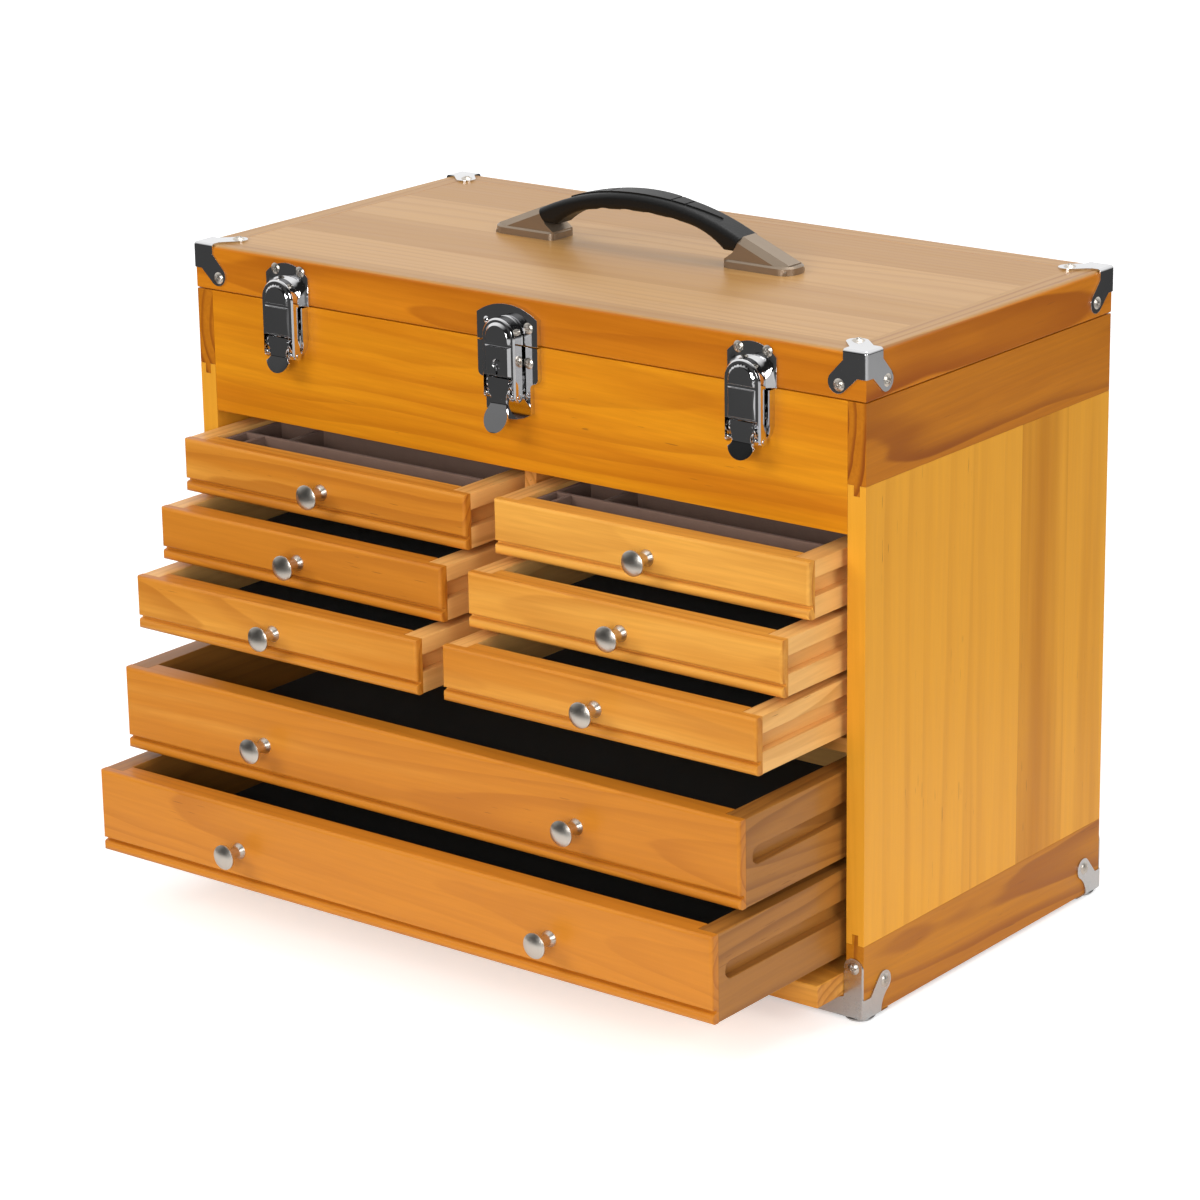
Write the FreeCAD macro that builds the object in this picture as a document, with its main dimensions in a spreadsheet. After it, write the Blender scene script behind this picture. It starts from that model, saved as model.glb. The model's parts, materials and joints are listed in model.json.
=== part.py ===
import FreeCAD, Part
import math
import operator
import os

from FreeCAD import Placement, Rotation, Vector
import Sketcher

# Wooden machinist tool chest, drawers part-way out. Millimetres, +X right, +Y back, +Z up.
# The origin is the middle of the chest at the level of the feet's undersides. In the code z is
# counted from the wooden underside, and place() adds the height at which the feet carry it.

SIZES = {
    # carcass
    "chest_width": (450, "over the two sides"),
    "chest_depth": (232, "front face to back face"),
    "body_height": (328.4, "underside to the top of the sides"),
    "side_thickness": (11, "sides, front edges show as stiles"),
    "top_rail_height": (42.6, "darker rail along the top of each side"),
    "bottom_rail_height": (40.2, "darker rail along the bottom of each side"),
    "tongue_length": (5.6, "rail tongue in the side panel"),
    "tongue_thickness": (3.6, "rail tongue in the side panel"),
    "upper_front_height": (68.9, "fixed front board above the drawers"),
    "upper_front_thickness": (11, "fixed front board above the drawers"),
    "back_thickness": (10, "back panel"),
    "bottom_thickness": (11, "bottom board"),
    "till_floor_thickness": (6, "floor of the top compartment"),
    "till_floor_rise": (1.5, "till floor above the upper front's lower edge"),
    "shelf_thickness": (8, "dust shelf between small and wide drawers"),
    "shelf_underside": (138, "dust shelf above the underside of the chest"),
    "divider_thickness": (8, "upright between the small drawers"),
    # cover board, stored under the lowest drawer
    "cover_thickness": (12.5, "front cover board"),
    "cover_height": (246, "front cover board, lies front to back when stored"),
    "cover_side_gap": (1, "cover board to each side"),
    "cover_clearance": (0.3, "cover board to bottom board and back panel"),
    # drawers
    "drawer_recess": (29, "closed drawer face behind the chest front"),
    "drawer_side_gap": (4, "drawer to the side or divider"),
    "drawer_back_gap": (1.5, "closed drawer to the back panel"),
    "small_height": (30.5, "small drawer"),
    "small_pitch": (34.5, "small drawer to the next one up"),
    "small_underside": (151.5, "lowest small drawer"),
    "wide_height": (47.5, "wide drawer"),
    "wide_pitch": (53.5, "wide drawer to the next one up"),
    "wide_underside": (31.5, "lowest wide drawer"),
    "front_thickness": (13.5, "drawer front"),
    "lap_thickness": (5.5, "drawer front where it laps the sides"),
    "wall_thickness": (12.5, "drawer sides"),
    "drawer_back_thickness": (10, "drawer back"),
    "drawer_bottom_thickness": (3, "drawer bottom board"),
    "drawer_bottom_rise": (4, "drawer bottom above the drawer's underside"),
    "bottom_groove_depth": (4, "groove that holds the drawer bottom"),
    "front_edge_radius": (2, "top and end edges of a drawer front"),
    "bead_radius": (2.9, "half-round bead along the foot of a drawer front"),
    "quirk_radius": (1, "groove above the bead"),
    "field_edge_radius": (1.2, "lower edge of the flat field above the groove"),
    "felt_thickness": (1.2, "felt on a drawer bottom"),
    "felt_clearance": (0.5, "felt or tray to the drawer's walls"),
    "tray_wall": (2.6, "flocked tray walls and dividers"),
    "tray_floor": (1.5, "flocked tray floor"),
    "tray_drop": (2, "tray rim below the drawer's top"),
    "tray_first_row": (36, "first long divider behind the drawer's face"),
    "tray_first_left": (28, "cross divider of the first row, left tray, from the drawer's edge"),
    "tray_first_right": (24, "cross divider of the first row, right tray, from the drawer's edge"),
    "tray_second_cross": (46, "cross divider of the second row from the drawer's edge"),
    # runners
    "groove_height": (9.5, "runner groove in the drawer sides"),
    "groove_depth": (5, "runner groove in the drawer sides"),
    "small_groove_rise": (16.5, "groove centre above a small drawer's underside"),
    "wide_groove_rise": (25.5, "groove centre above a wide drawer's underside"),
    "wide_groove_start": (6, "groove's rounded end behind a wide drawer's lap"),
    "runner_clearance": (0.5, "runner to the groove below and beside it"),
    "runner_top_gap": (0.1, "runner top to the groove's upper face"),
    "runner_setback": (46, "runner's front end behind the chest front"),
    # how far each drawer stands open
    "open_left_1": (61.5, "top left drawer"),
    "open_left_2": (82.5, "middle left drawer"),
    "open_left_3": (104, "lower left drawer"),
    "open_right_1": (57, "top right drawer"),
    "open_right_2": (80, "middle right drawer"),
    "open_right_3": (102, "lower right drawer"),
    "open_wide_1": (116.5, "upper wide drawer"),
    "open_wide_2": (140, "lower wide drawer"),
    # knobs
    "knob_cap_radius": (6.9, "cap"),
    "knob_crown": (1.8, "rise of the cap's domed face"),
    "knob_base_radius": (4.6, "disc against the drawer front"),
    "knob_neck_radius": (2.9, "neck"),
    "knob_base_thickness": (3.2, "sloping disc against the drawer front"),
    "knob_cap_depth": (3.2, "underside of the cap, from the brim back to the neck"),
    "knob_brim": (0.9, "upright edge of the cap"),
    "knob_projection": (14.2, "front of the cap"),
    "small_knob_rise": (15.7, "knob above a small drawer's underside"),
    "wide_knob_rise": (22.4, "knobs above a wide drawer's underside"),
    "wide_knob_offset": (107, "knobs of a wide drawer from its middle"),
    # lid
    "lid_height": (25.2, "lid rails"),
    "lid_seam": (0.4, "gap between body and lid"),
    "lid_rail_thickness": (15, "lid rails"),
    "lid_panel_thickness": (11, "lid panel between the rails"),
    "lid_edge_radius": (2.5, "outer top edge of the lid rails"),
    # hinges
    "hinge_offset": (150, "hinges from the middle"),
    "leaf_width": (52, "hinge leaf along the knuckle"),
    "leaf_height": (18, "hinge leaf across the knuckle"),
    "leaf_thickness": (1.2, "hinge leaf"),
    "knuckle_radius": (2.6, "hinge knuckle"),
    "knuckle_gap": (0.4, "knuckle to the wood and to its neighbour"),
    "hinge_pin_radius": (1.4, "hinge pin"),
    "pin_clearance": (0.05, "running clearance round every pin"),
    # latches: an outer and a middle (lock) size where they differ
    "latch_offset": (156.4, "outer latches from the middle"),
    "sheet_thickness": (1.2, "pressed latch sheet"),
    "fold_thickness": (1, "folded walls, rims, ears and cheeks"),
    "seam_margin": (0.2, "latch plates to the seam"),
    "outer_strike_half": (15.3, "strike plate, half width"),
    "outer_strike_top": (22.9, "strike plate above the seam"),
    "outer_strike_shoulder": (16.1, "upper corners of the strike plate"),
    "outer_plate_front": (1.2, "plates in front of the chest"),
    "outer_dome_half": (14.2, "foot of the strike's dome, half width"),
    "outer_dome_shoulder": (10.4, "upper corners of the dome's foot"),
    "outer_dome_top": (15.8, "top of the dome's foot"),
    "outer_dome_front": (7, "dome in front of the chest"),
    "outer_base_half": (13.4, "base plate, half width"),
    "outer_base_drop": (31.2, "base plate below the seam"),
    "rim_front": (4.6, "rims of the outer base plates in front of the chest"),
    "rim_low_front": (1.9, "the same rims at their lowest point"),
    "outer_claw_half": (11.3, "claw, half width"),
    "outer_claw_front": (10.2, "claw face in front of the chest"),
    "outer_pad_rise": (0.9, "raised pads on the claw face"),
    "outer_pivot_front": (6.5, "lever and claw pins in front of the chest"),
    "outer_bend_drop": (27.5, "bend of the lever below the seam"),
    "outer_bend_angle": (16, "lean of the finger tab, degrees"),
    "outer_tab_half": (8.2, "finger tab at its knee, half width"),
    "outer_tab_knee": (30.3, "end of the tab's neck below the seam"),
    "outer_tab_drop": (36.5, "tip of the tab below the seam"),
    "lock_strike_half": (20.3, "strike plate, half width"),
    "lock_strike_top": (21.3, "strike plate above the seam"),
    "lock_strike_shoulder": (14.9, "upper corners of the strike plate"),
    "lock_plate_front": (3.4, "pan-shaped plates in front of the chest"),
    "lock_dome_half": (10.6, "foot of the strike's dome, half width"),
    "lock_dome_shoulder": (4.6, "upper corners of the dome's foot"),
    "lock_dome_top": (15.2, "top of the dome's foot"),
    "lock_dome_front": (9, "dome in front of the chest"),
    "lock_base_half": (20.2, "base plate, half width above the waist"),
    "lock_base_drop": (40.7, "base plate below the seam"),
    "lock_waist_bow": (0.7, "bow of the two halves of the waist"),
    "lock_base_corner": (36.5, "lower corners of the base plate below the seam"),
    "lock_waist_half": (15, "base plate, half width below the waist"),
    "lock_waist_top": (16.8, "start of the waist below the seam"),
    "lock_waist_low": (22.4, "end of the waist below the seam"),
    "lock_claw_half": (11, "claw, half width"),
    "lock_claw_front": (11.3, "claw face in front of the chest"),
    "lock_pad_rise": (1.3, "raised pads on the claw face"),
    "lock_pivot_front": (7.7, "lever and claw pins in front of the chest"),
    "lock_bend_drop": (30.5, "bend of the lever below the seam"),
    "lock_bend_angle": (22, "lean of the finger tab, degrees"),
    "lock_tab_half": (6.6, "finger tab at its knee, half width"),
    "lock_tab_knee": (34, "end of the tab's neck below the seam"),
    "lock_tab_drop": (45.4, "tip of the tab below the seam"),
    "claw_rise": (15.2, "claw top above the seam"),
    "claw_back": (5, "claw's back edge in front of the chest"),
    "claw_face_low": (16, "claw face down to this below the seam"),
    "claw_edge": (0.9, "bevelled outer edge of the claw face"),
    "strike_gap": (0.4, "claw wall to the strike's dome"),
    "pad_half": (7.3, "claw pads, half width on top"),
    "pad_bevel": (2, "claw pads, sloping sides"),
    "pad_end_bevel": (0.5, "claw pads, sloping ends"),
    "pad_parting": (1, "parting of the two pads above the seam"),
    "pivot_drop": (20.2, "lever pivot below the seam"),
    "claw_pin_drop": (6.5, "claw pivot below the lever pivot"),
    "latch_pin_radius": (1.1, "latch pivots"),
    "claw_pin_proud": (0.4, "claw pin beyond the claw's walls"),
    "ear_radius": (3.6, "base plate ears"),
    "toe_radius": (2.7, "round lower ends of the claw's walls"),
    "eye_radius": (2.6, "round ends of the lever's cheeks"),
    "latch_side_gap": (0.3, "lever to ear"),
    "lever_half": (7, "lever, half width at the pins"),
    "lever_rise": (3.4, "lever above its pivot"),
    "lever_front": (3.9, "lever face in front of its pivot"),
    "neck_half": (5.5, "lever neck, half width"),
    "neck_top": (22.4, "start of the lever's neck below the seam"),
    "neck_low": (25.4, "narrowest place of the neck below the seam"),
    "plug_radius": (2.8, "lock plug"),
    "plug_length": (4.5, "lock plug"),
    "plug_drop": (9.2, "lock plug below the seam"),
    "plug_recess": (0.6, "plug's face behind the pad"),
    "key_slot_width": (1.3, "key slot in the plug and the claw"),
    "key_slot_reach": (5.6, "lower end of the key slot from the plug's middle"),
    "rivet_radius": (2.5, "strike rivets and the lock's base rivets"),
    "rivet_height": (1.1, "strike rivets and the lock's base rivets"),
    "small_rivet_radius": (1.9, "outer base rivets"),
    "small_rivet_height": (0.8, "outer base rivets"),
    "outer_strike_rivet_x": (9, "strike rivets from the latch's middle"),
    "outer_strike_rivet_z": (18, "strike rivets above the seam"),
    "outer_base_rivet_x": (10, "base rivets from the latch's middle"),
    "outer_base_rivet_drop": (14.5, "base rivets below the seam"),
    "lock_strike_rivet_x": (13.6, "strike rivets from the latch's middle"),
    "lock_strike_rivet_z": (9.1, "strike rivets above the seam"),
    "lock_base_rivet_x": (13.4, "base rivets from the latch's middle"),
    "lock_base_rivet_drop": (9.6, "base rivets below the seam"),
    # corner brackets
    "bracket_thickness": (1, "corner sheet metal"),
    "bracket_fold": (1.8, "outer radius of the folds"),
    "lobe_radius": (5.8, "round ends of the lid brackets"),
    "lobe_offset": (16.6, "lid bracket screws from the lid's edges"),
    "bracket_root": (13.4, "lid bracket along each edge"),
    "bracket_neck": (4.8, "straight part of each root edge"),
    "foot_arm_height": (32.8, "foot bracket up the stile"),
    "foot_arm_width": (11.7, "foot bracket across the stile"),
    "foot_arm_screw": (26.9, "screw in that arm above the wooden underside"),
    "foot_flange_length": (34, "foot bracket along the front"),
    "foot_flange_height": (2.5, "front flange at its thin end"),
    "foot_side_length": (15, "foot bracket along the side"),
    "foot_side_height": (10.8, "foot bracket up the side at the corner"),
    "foot_hollow": (1.2, "hollow of the side arm's lower edge"),
    "foot_lobe_radius": (6, "round end of the side arm"),
    "foot_lobe_y": (17.6, "side arm's screw behind the front"),
    "foot_lobe_z": (16, "side arm's screw above the wooden underside"),
    "foot_sole": (22, "part under the chest"),
    "foot_inset": (7.6, "foot's middle from both faces of the corner"),
    "foot_radius": (8.3, "foot at the bracket"),
    "foot_taper": (1.2, "foot, narrower on the ground"),
    "foot_height": (1.6, "feet below the brackets' undersides"),
    "screw_head_radius": (2.8, "domed heads"),
    "screw_head_height": (1.5, "domed heads"),
    # handle, measured from its own middle and the lid
    "handle_left_offset": (4, "handle left of the lid's middle"),
    "handle_back_offset": (7.5, "handle behind the lid's middle"),
    "grip_top": (32.4, "highest place of the grip"),
    "grip_end_top_x": (68.7, "upper corners of the grip's ends from the middle"),
    "grip_end_top_z": (16.9, "upper corners of the grip's ends"),
    "grip_end_low_x": (64.3, "lower corners of the grip's ends from the middle"),
    "grip_end_low_z": (9, "lower corners of the grip's ends"),
    "grip_heel_x": (57.5, "start of the level part of the underside by the feet"),
    "grip_haunch": (1.4, "bulge of the underside between the level and the bowed parts"),
    "grip_palm_x": (33, "end of the evenly bowed part of the underside"),
    "grip_palm_z": (20.3, "underside at that place"),
    "grip_under": (22.9, "underside in the middle"),
    "grip_width": (19, "grip, front to back"),
    "grip_round": (3.6, "grip's long edges"),
    "finger_radius": (14, "finger hollows under the grip"),
    "finger_depth": (0.9, "finger hollows under the grip"),
    "finger_pitch": (15, "one finger hollow to the next"),
    "thumb_pad_half": (52, "raised pad on top, half length"),
    "thumb_pad_half_width": (6.4, "raised pad on top, half width"),
    "thumb_pad_rise": (0.8, "raised pad above the grip"),
    "pad_rib_first": (21, "first groove from the middle of the pad"),
    "pad_rib_second": (30, "second groove from the middle of the pad"),
    "pad_rib_width": (1, "grooves across the raised pad"),
    "pad_rib_depth": (0.5, "grooves across the raised pad"),
    "handle_foot_inner": (58, "inner end of each foot from the handle's middle"),
    "handle_foot_outer": (102, "outer end of each foot from the handle's middle"),
    "handle_foot_width": (20, "flange of the feet, front to back"),
    "handle_foot_flange": (4.6, "flange of the feet, height"),
    "handle_foot_inner_round": (4, "inner corners of the flange"),
    "handle_foot_outer_round": (9, "outer corners of the flange"),
    "handle_foot_bevel": (1, "bevel round the top of the flange"),
    "wedge_toe": (3, "outer end of the sloping part from the end of the flange"),
    "wedge_width": (17.6, "sloping part of the feet, front to back"),
    "wedge_bevel": (3.4, "bevels along the sloping part"),
}

doc = FreeCAD.newDocument("machinist_tool_chest")
sheet = doc.addObject("Spreadsheet::Sheet", "Sizes")


class Length:
    """A size in millimetres with the sheet formula that gives it."""

    def __init__(self, number, formula=None):
        self.number = float(number)
        self.formula = formula or "(%r)" % float(number)

    def __add__(self, other):
        return joined(self, "+", other)

    def __radd__(self, other):
        return joined(other, "+", self)

    def __sub__(self, other):
        return joined(self, "-", other)

    def __rsub__(self, other):
        return joined(other, "-", self)

    def __mul__(self, other):
        return joined(self, "*", other)

    def __rmul__(self, other):
        return joined(other, "*", self)

    def __truediv__(self, other):
        return joined(self, "/", other)

    def __neg__(self):
        return joined(0, "-", self)

    def __float__(self):
        return self.number


SIGNS = {"+": operator.add, "-": operator.sub, "*": operator.mul, "/": operator.truediv}


def as_length(value):
    return value if isinstance(value, Length) else Length(value)


def joined(first, sign, second):
    first = as_length(first)
    second = as_length(second)
    number = SIGNS[sign](first.number, second.number)
    return Length(number, "(%s %s %s)" % (first.formula, sign, second.formula))


class Named:
    """The sheet's sizes by name."""


size = Named()
for row, (alias, (millimetres, meaning)) in enumerate(SIZES.items(), 1):
    sheet.set("A%d" % row, alias)
    sheet.set("B%d" % row, str(millimetres))
    sheet.set("C%d" % row, meaning)
    sheet.setAlias("B%d" % row, alias)
    setattr(size, alias, Length(millimetres, "Sizes." + alias))
doc.recompute()

BEYOND = 1  # cutting shapes reach this far past what they cut
TINY = 0.01  # two places closer than this are one

# places that several pieces share
standing = size.bracket_thickness + size.foot_height
half_width = size.chest_width / 2
inside = half_width - size.side_thickness
front = -size.chest_depth / 2
back = size.chest_depth / 2
back_inside = back - size.back_thickness
upper_front_underside = size.body_height - size.upper_front_height
till_floor_underside = upper_front_underside + size.till_floor_rise
shelf_top = size.shelf_underside + size.shelf_thickness
behind_cover = front + size.cover_thickness + 1
lid_underside = size.body_height + size.lid_seam
lid_top = lid_underside + size.lid_height

nodes = []


def node(piece, label):
    """Names a finished sub-part, which is written to its own file."""
    piece.Label = label
    nodes.append(piece)
    return piece


def bind(piece, **formulas):
    for name, value in formulas.items():
        piece.setExpression(name, as_length(value).formula)
    return piece


def place(piece, x=0, y=0, z=0):
    """Sets where a piece's own origin lies, with z from the wooden underside."""
    for axis, value in zip("xyz", (x, y, standing + z)):
        piece.setExpression("Placement.Base." + axis, as_length(value).formula)
    return piece


def box(name, x, y, z):
    """A block between two places on each axis."""
    piece = doc.addObject("Part::Box", name)
    spans = [as_length(high) - low for low, high in (x, y, z)]
    bind(piece, Length=spans[0], Width=spans[1], Height=spans[2])
    return place(piece, x[0], y[0], z[0])


ALONG = {
    "x": Rotation(Vector(0, 1, 0), 90),
    "y": Rotation(Vector(1, 0, 0), -90),
    "z": Rotation(),
}


def rod(name, along, radius, start, length):
    """A cylinder from its start point along one axis."""
    piece = doc.addObject("Part::Cylinder", name)
    piece.Placement = Placement(Vector(), ALONG[along])
    bind(piece, Radius=radius, Height=length)
    return place(piece, *start)


def fuse(name, pieces):
    piece = doc.addObject("Part::MultiFuse", name)
    piece.Shapes = pieces
    return piece


def cut(name, base, tools):
    piece = doc.addObject("Part::Cut", name)
    piece.Base = base
    piece.Tool = tools[0] if len(tools) == 1 else fuse(name + "_tools", tools)
    return piece


def group(label, pieces):
    """Several separate pieces in one sub-part."""
    piece = doc.addObject("Part::Compound", label)
    piece.Links = pieces
    return node(piece, label)


def rounded(name, base, radius, chosen):
    """Rounds the edges of a block that a test picks."""
    doc.recompute()
    piece = doc.addObject("Part::Fillet", name)
    piece.Base = base
    picked = [i for i, edge in enumerate(base.Shape.Edges, 1) if chosen(edge)]
    piece.Edges = [(i, float(radius), float(radius)) for i in picked]
    return piece


def solid_piece(name, shape, x=0, y=0, z=0):
    """A sub-part whose shape is built from profiles with Part's own functions."""
    piece = doc.addObject("Part::Feature", name)
    piece.Shape = shape
    return place(piece, x, y, z)


def mirrored(name, source, normal):
    piece = doc.addObject("Part::Mirroring", name)
    piece.Source = source
    piece.Normal = normal
    return piece


ACROSS_X = Vector(1, 0, 0)
ACROSS_Y = Vector(0, 1, 0)

# ---------------------------------------------------------------- sketches


def fix_point(sketch, geometry, end, x, y):
    """Ties one end of a sketch element to the sketch's origin."""
    for kind, value in (("DistanceX", x), ("DistanceY", y)):
        value = as_length(value)
        index = sketch.addConstraint(
            Sketcher.Constraint(kind, -1, 1, geometry, end, value.number)
        )
        sketch.setExpression("Constraints[%d]" % index, value.formula)


def draw(sketch, steps):
    """Draws a closed outline. A step is (x, y) for a line to that point, or
    (x, y, centre x, centre y, "left" or "right") for an arc that turns that way."""
    last = steps[-1][:2]
    for step in steps:
        start = Vector(float(last[0]), float(last[1]), 0)
        end = Vector(float(step[0]), float(step[1]), 0)
        if len(step) == 2:
            geometry = sketch.addGeometry(Part.LineSegment(start, end), False)
            ends = (1, 2)
        else:
            centre = Vector(float(step[2]), float(step[3]), 0)
            radius = (start - centre).Length
            circle = Part.Circle(centre, Vector(0, 0, 1), radius)
            ends = (1, 2) if step[4] == "left" else (2, 1)
            low, high = (start, end) if step[4] == "left" else (end, start)
            low_angle = math.atan2(low.y - centre.y, low.x - centre.x)
            high_angle = math.atan2(high.y - centre.y, high.x - centre.x)
            if high_angle < low_angle:
                high_angle += 2 * math.pi
            geometry = sketch.addGeometry(Part.ArcOfCircle(circle, low_angle, high_angle), False)
        fix_point(sketch, geometry, ends[0], *last)
        if len(step) == 2:
            fix_point(sketch, geometry, ends[1], step[0], step[1])
        else:
            fix_point(sketch, geometry, 3, step[2], step[3])
            across = "DistanceX" if abs(end.x - centre.x) < abs(end.y - centre.y) else "DistanceY"
            value = as_length(step[0] if across == "DistanceX" else step[1])
            index = sketch.addConstraint(
                Sketcher.Constraint(across, -1, 1, geometry, ends[1], value.number)
            )
            sketch.setExpression("Constraints[%d]" % index, value.formula)
        last = step[:2]


def body_sketch(name, plane, steps):
    """A body with one sketch on one of its own origin planes."""
    body = doc.addObject("PartDesign::Body", name)
    sketch = body.newObject("Sketcher::SketchObject", name + "_outline")
    origin = [o for o in body.Origin.OriginFeatures if getattr(o, "Role", "") == plane]
    sketch.AttachmentSupport = (origin[0], [""])
    sketch.MapMode = "FlatFace"
    draw(sketch, steps)
    return body, sketch


def padded(name, plane, steps, length):
    """A body padded evenly to both sides of its sketch."""
    body, sketch = body_sketch(name, plane, steps)
    pad = body.newObject("PartDesign::Pad", name + "_pad")
    pad.Profile = sketch
    pad.Midplane = True
    bind(pad, Length=length)
    return body


def turned(name, plane, steps, axis):
    """A body revolved about one axis of its sketch."""
    body, sketch = body_sketch(name, plane, steps)
    turn = body.newObject("PartDesign::Revolution", name + "_turn")
    turn.Profile = sketch
    turn.ReferenceAxis = (sketch, [axis])
    turn.Angle = 360
    return body


# ---------------------------------------------------------------- carcass


def side_wall(side, sign):
    """One side: an upright-grained panel between two rails with tongues."""
    outer = sign * half_width
    inner = sign * inside
    x = (inner, outer) if sign > 0 else (outer, inner)
    panel_low = size.bottom_rail_height
    panel_high = size.body_height - size.top_rail_height
    middle = sign * (half_width - size.side_thickness / 2)
    tongue_x = (middle - size.tongue_thickness / 2, middle + size.tongue_thickness / 2)
    y = (front, back)
    low_z = (panel_low, panel_low + size.tongue_length)
    high_z = (panel_high - size.tongue_length, panel_high)
    panel = cut(
        side + "_panel",
        box(side + "_panel_board", x, y, (panel_low, panel_high)),
        [
            box(side + "_low_groove", tongue_x, y, low_z),
            box(side + "_high_groove", tongue_x, y, high_z),
        ],
    )
    top_rail = fuse(
        side + "_top_rail",
        [
            box(side + "_top_board", x, y, (panel_high, size.body_height)),
            box(side + "_top_tongue", tongue_x, y, high_z),
        ],
    )
    bottom_rail = fuse(
        side + "_bottom_rail",
        [
            box(side + "_bottom_board", x, y, (0, panel_low)),
            box(side + "_bottom_tongue", tongue_x, y, low_z),
        ],
    )
    return panel, top_rail, bottom_rail


def carcass():
    left_panel, left_top, left_bottom = side_wall("left", -1)
    right_panel, right_top, right_bottom = side_wall("right", 1)
    group("side_panels", [left_panel, right_panel])
    group("side_rails", [left_top, left_bottom, right_top, right_bottom])
    across = (-inside, inside)
    upper_y = (front, front + size.upper_front_thickness)
    node(box("upper_front", across, upper_y, (upper_front_underside, size.body_height)), "upper_front")
    node(box("back_panel", across, (back_inside, back), (0, size.body_height)), "back_panel")
    node(box("bottom_board", across, (front, back_inside), (0, size.bottom_thickness)), "bottom_board")
    till_z = (till_floor_underside, till_floor_underside + size.till_floor_thickness)
    till_floor = box("till_floor", across, (upper_y[1], back_inside), till_z)
    shelf_z = (size.shelf_underside, shelf_top)
    shelf = box("dust_shelf", across, (behind_cover, back_inside), shelf_z)
    group("shelves", [till_floor, shelf])
    half = size.divider_thickness / 2
    upright_z = (shelf_top, till_floor_underside)
    node(box("centre_divider", (-half, half), (behind_cover, back_inside), upright_z), "centre_divider")


# ---------------------------------------------------------------- drawers


class Drawer:
    """The places of one drawer: its span in x, its face and its underside."""

    def __init__(self, label, low_x, high_x, underside, height, rise, opening, wide):
        self.label = label
        self.low = low_x
        self.high = high_x
        self.underside = underside
        self.top = underside + height
        self.height = height
        self.face = front + size.drawer_recess - opening
        self.tail = back_inside - size.drawer_back_gap - opening
        self.groove_middle = underside + rise
        self.wide = wide


def all_drawers():
    gap = size.drawer_side_gap
    outer = inside - gap
    inner = size.divider_thickness / 2 + gap
    drawers = []
    for row in (1, 2, 3):
        underside = size.small_underside + (3 - row) * size.small_pitch
        for side, low, high in (("left", -outer, -inner), ("right", inner, outer)):
            opening = getattr(size, "open_%s_%d" % (side, row))
            label = "drawer_%s_%d" % (side, row)
            rise = size.small_groove_rise
            drawers.append(
                Drawer(label, low, high, underside, size.small_height, rise, opening, False)
            )
    for row in (1, 2):
        underside = size.wide_underside + (2 - row) * size.wide_pitch
        opening = getattr(size, "open_wide_%d" % row)
        label = "drawer_wide_%d" % row
        rise = size.wide_groove_rise
        drawers.append(Drawer(label, -outer, outer, underside, size.wide_height, rise, opening, True))
    return drawers


def drawer_front(d):
    """A moulded front: rounded top, groove and bead, lapped over the sides at its back."""
    top_round = size.front_edge_radius
    bead = size.bead_radius
    quirk = size.quirk_radius
    edge = size.field_edge_radius
    thick = size.front_thickness
    bead_top = 2 * bead
    quirk_top = bead_top + 2 * quirk
    field_low = quirk_top + edge
    steps = [
        (thick, 0),
        (thick, d.height),
        (top_round, d.height),
        (0, d.height - top_round, top_round, d.height - top_round, "left"),
        (0, field_low),
        (edge, quirk_top, edge, field_low, "left"),
        (bead, quirk_top),
        (bead, bead_top, bead, bead_top + quirk, "right"),
        (bead, 0, bead, bead, "left"),
    ]
    half = (d.high - d.low) / 2
    turn = size.front_edge_radius
    plan = [
        (half - turn, 0),
        (half, turn, half - turn, turn, "left"),
        (half, thick),
        (-half, thick),
        (-half, turn),
        (turn - half, 0, turn - half, turn, "left"),
    ]
    moulding = padded(d.label + "_moulding", "YZ_Plane", steps, d.high - d.low)
    place(moulding, (d.low + d.high) / 2, d.face, d.underside)
    board = padded(d.label + "_plan", "XY_Plane", plan, d.height)
    place(board, (d.low + d.high) / 2, d.face, d.underside + d.height / 2)
    rounded_front = doc.addObject("Part::MultiCommon", d.label + "_rounded")
    rounded_front.Shapes = [moulding, board]
    lap_y = (d.face + size.lap_thickness, d.face + size.front_thickness)
    all_z = (d.underside, d.top)
    groove_y = (lap_y[1] - size.bottom_groove_depth, lap_y[1])
    groove_z = bottom_groove(d)
    wall = size.wall_thickness
    tools = [
        box(d.label + "_left_lap", (d.low, d.low + wall), lap_y, all_z),
        box(d.label + "_right_lap", (d.high - wall, d.high), lap_y, all_z),
        box(d.label + "_front_groove", (d.low + wall, d.high - wall), groove_y, groove_z),
    ]
    node(cut(d.label + "_front", rounded_front, tools), d.label + "_front")


def bottom_groove(d):
    low = d.underside + size.drawer_bottom_rise
    return (low, low + size.drawer_bottom_thickness)


def drawer_side(d, side):
    """A drawer side with its runner groove outside and the bottom's groove inside."""
    wall = size.wall_thickness
    outward = -1 if side == "left" else 1
    outer = d.low if side == "left" else d.high
    inner = outer - outward * wall
    x = (outer, inner) if side == "left" else (inner, outer)
    floor_x = sorted((inner, inner + outward * size.bottom_groove_depth), key=float)
    runner_x = sorted((outer, outer - outward * size.groove_depth), key=float)
    start = d.face + size.lap_thickness
    name = "%s_%s" % (d.label, side)
    radius = size.groove_height / 2
    z = (d.groove_middle - radius, d.groove_middle + radius)
    tools = [box(name + "_floor_groove", floor_x, (start, d.tail), bottom_groove(d))]
    if d.wide:
        round_y = start + size.wide_groove_start + radius
        end = (runner_x[0], round_y, d.groove_middle)
        tools.append(rod(name + "_groove_end", "x", radius, end, size.groove_depth))
        tools.append(box(name + "_groove", runner_x, (round_y, d.tail), z))
    else:
        tools.append(box(name + "_groove", runner_x, (start, d.tail), z))
    return cut(name + "_side", box(name + "_board", x, (start, d.tail), (d.underside, d.top)), tools)


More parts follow.
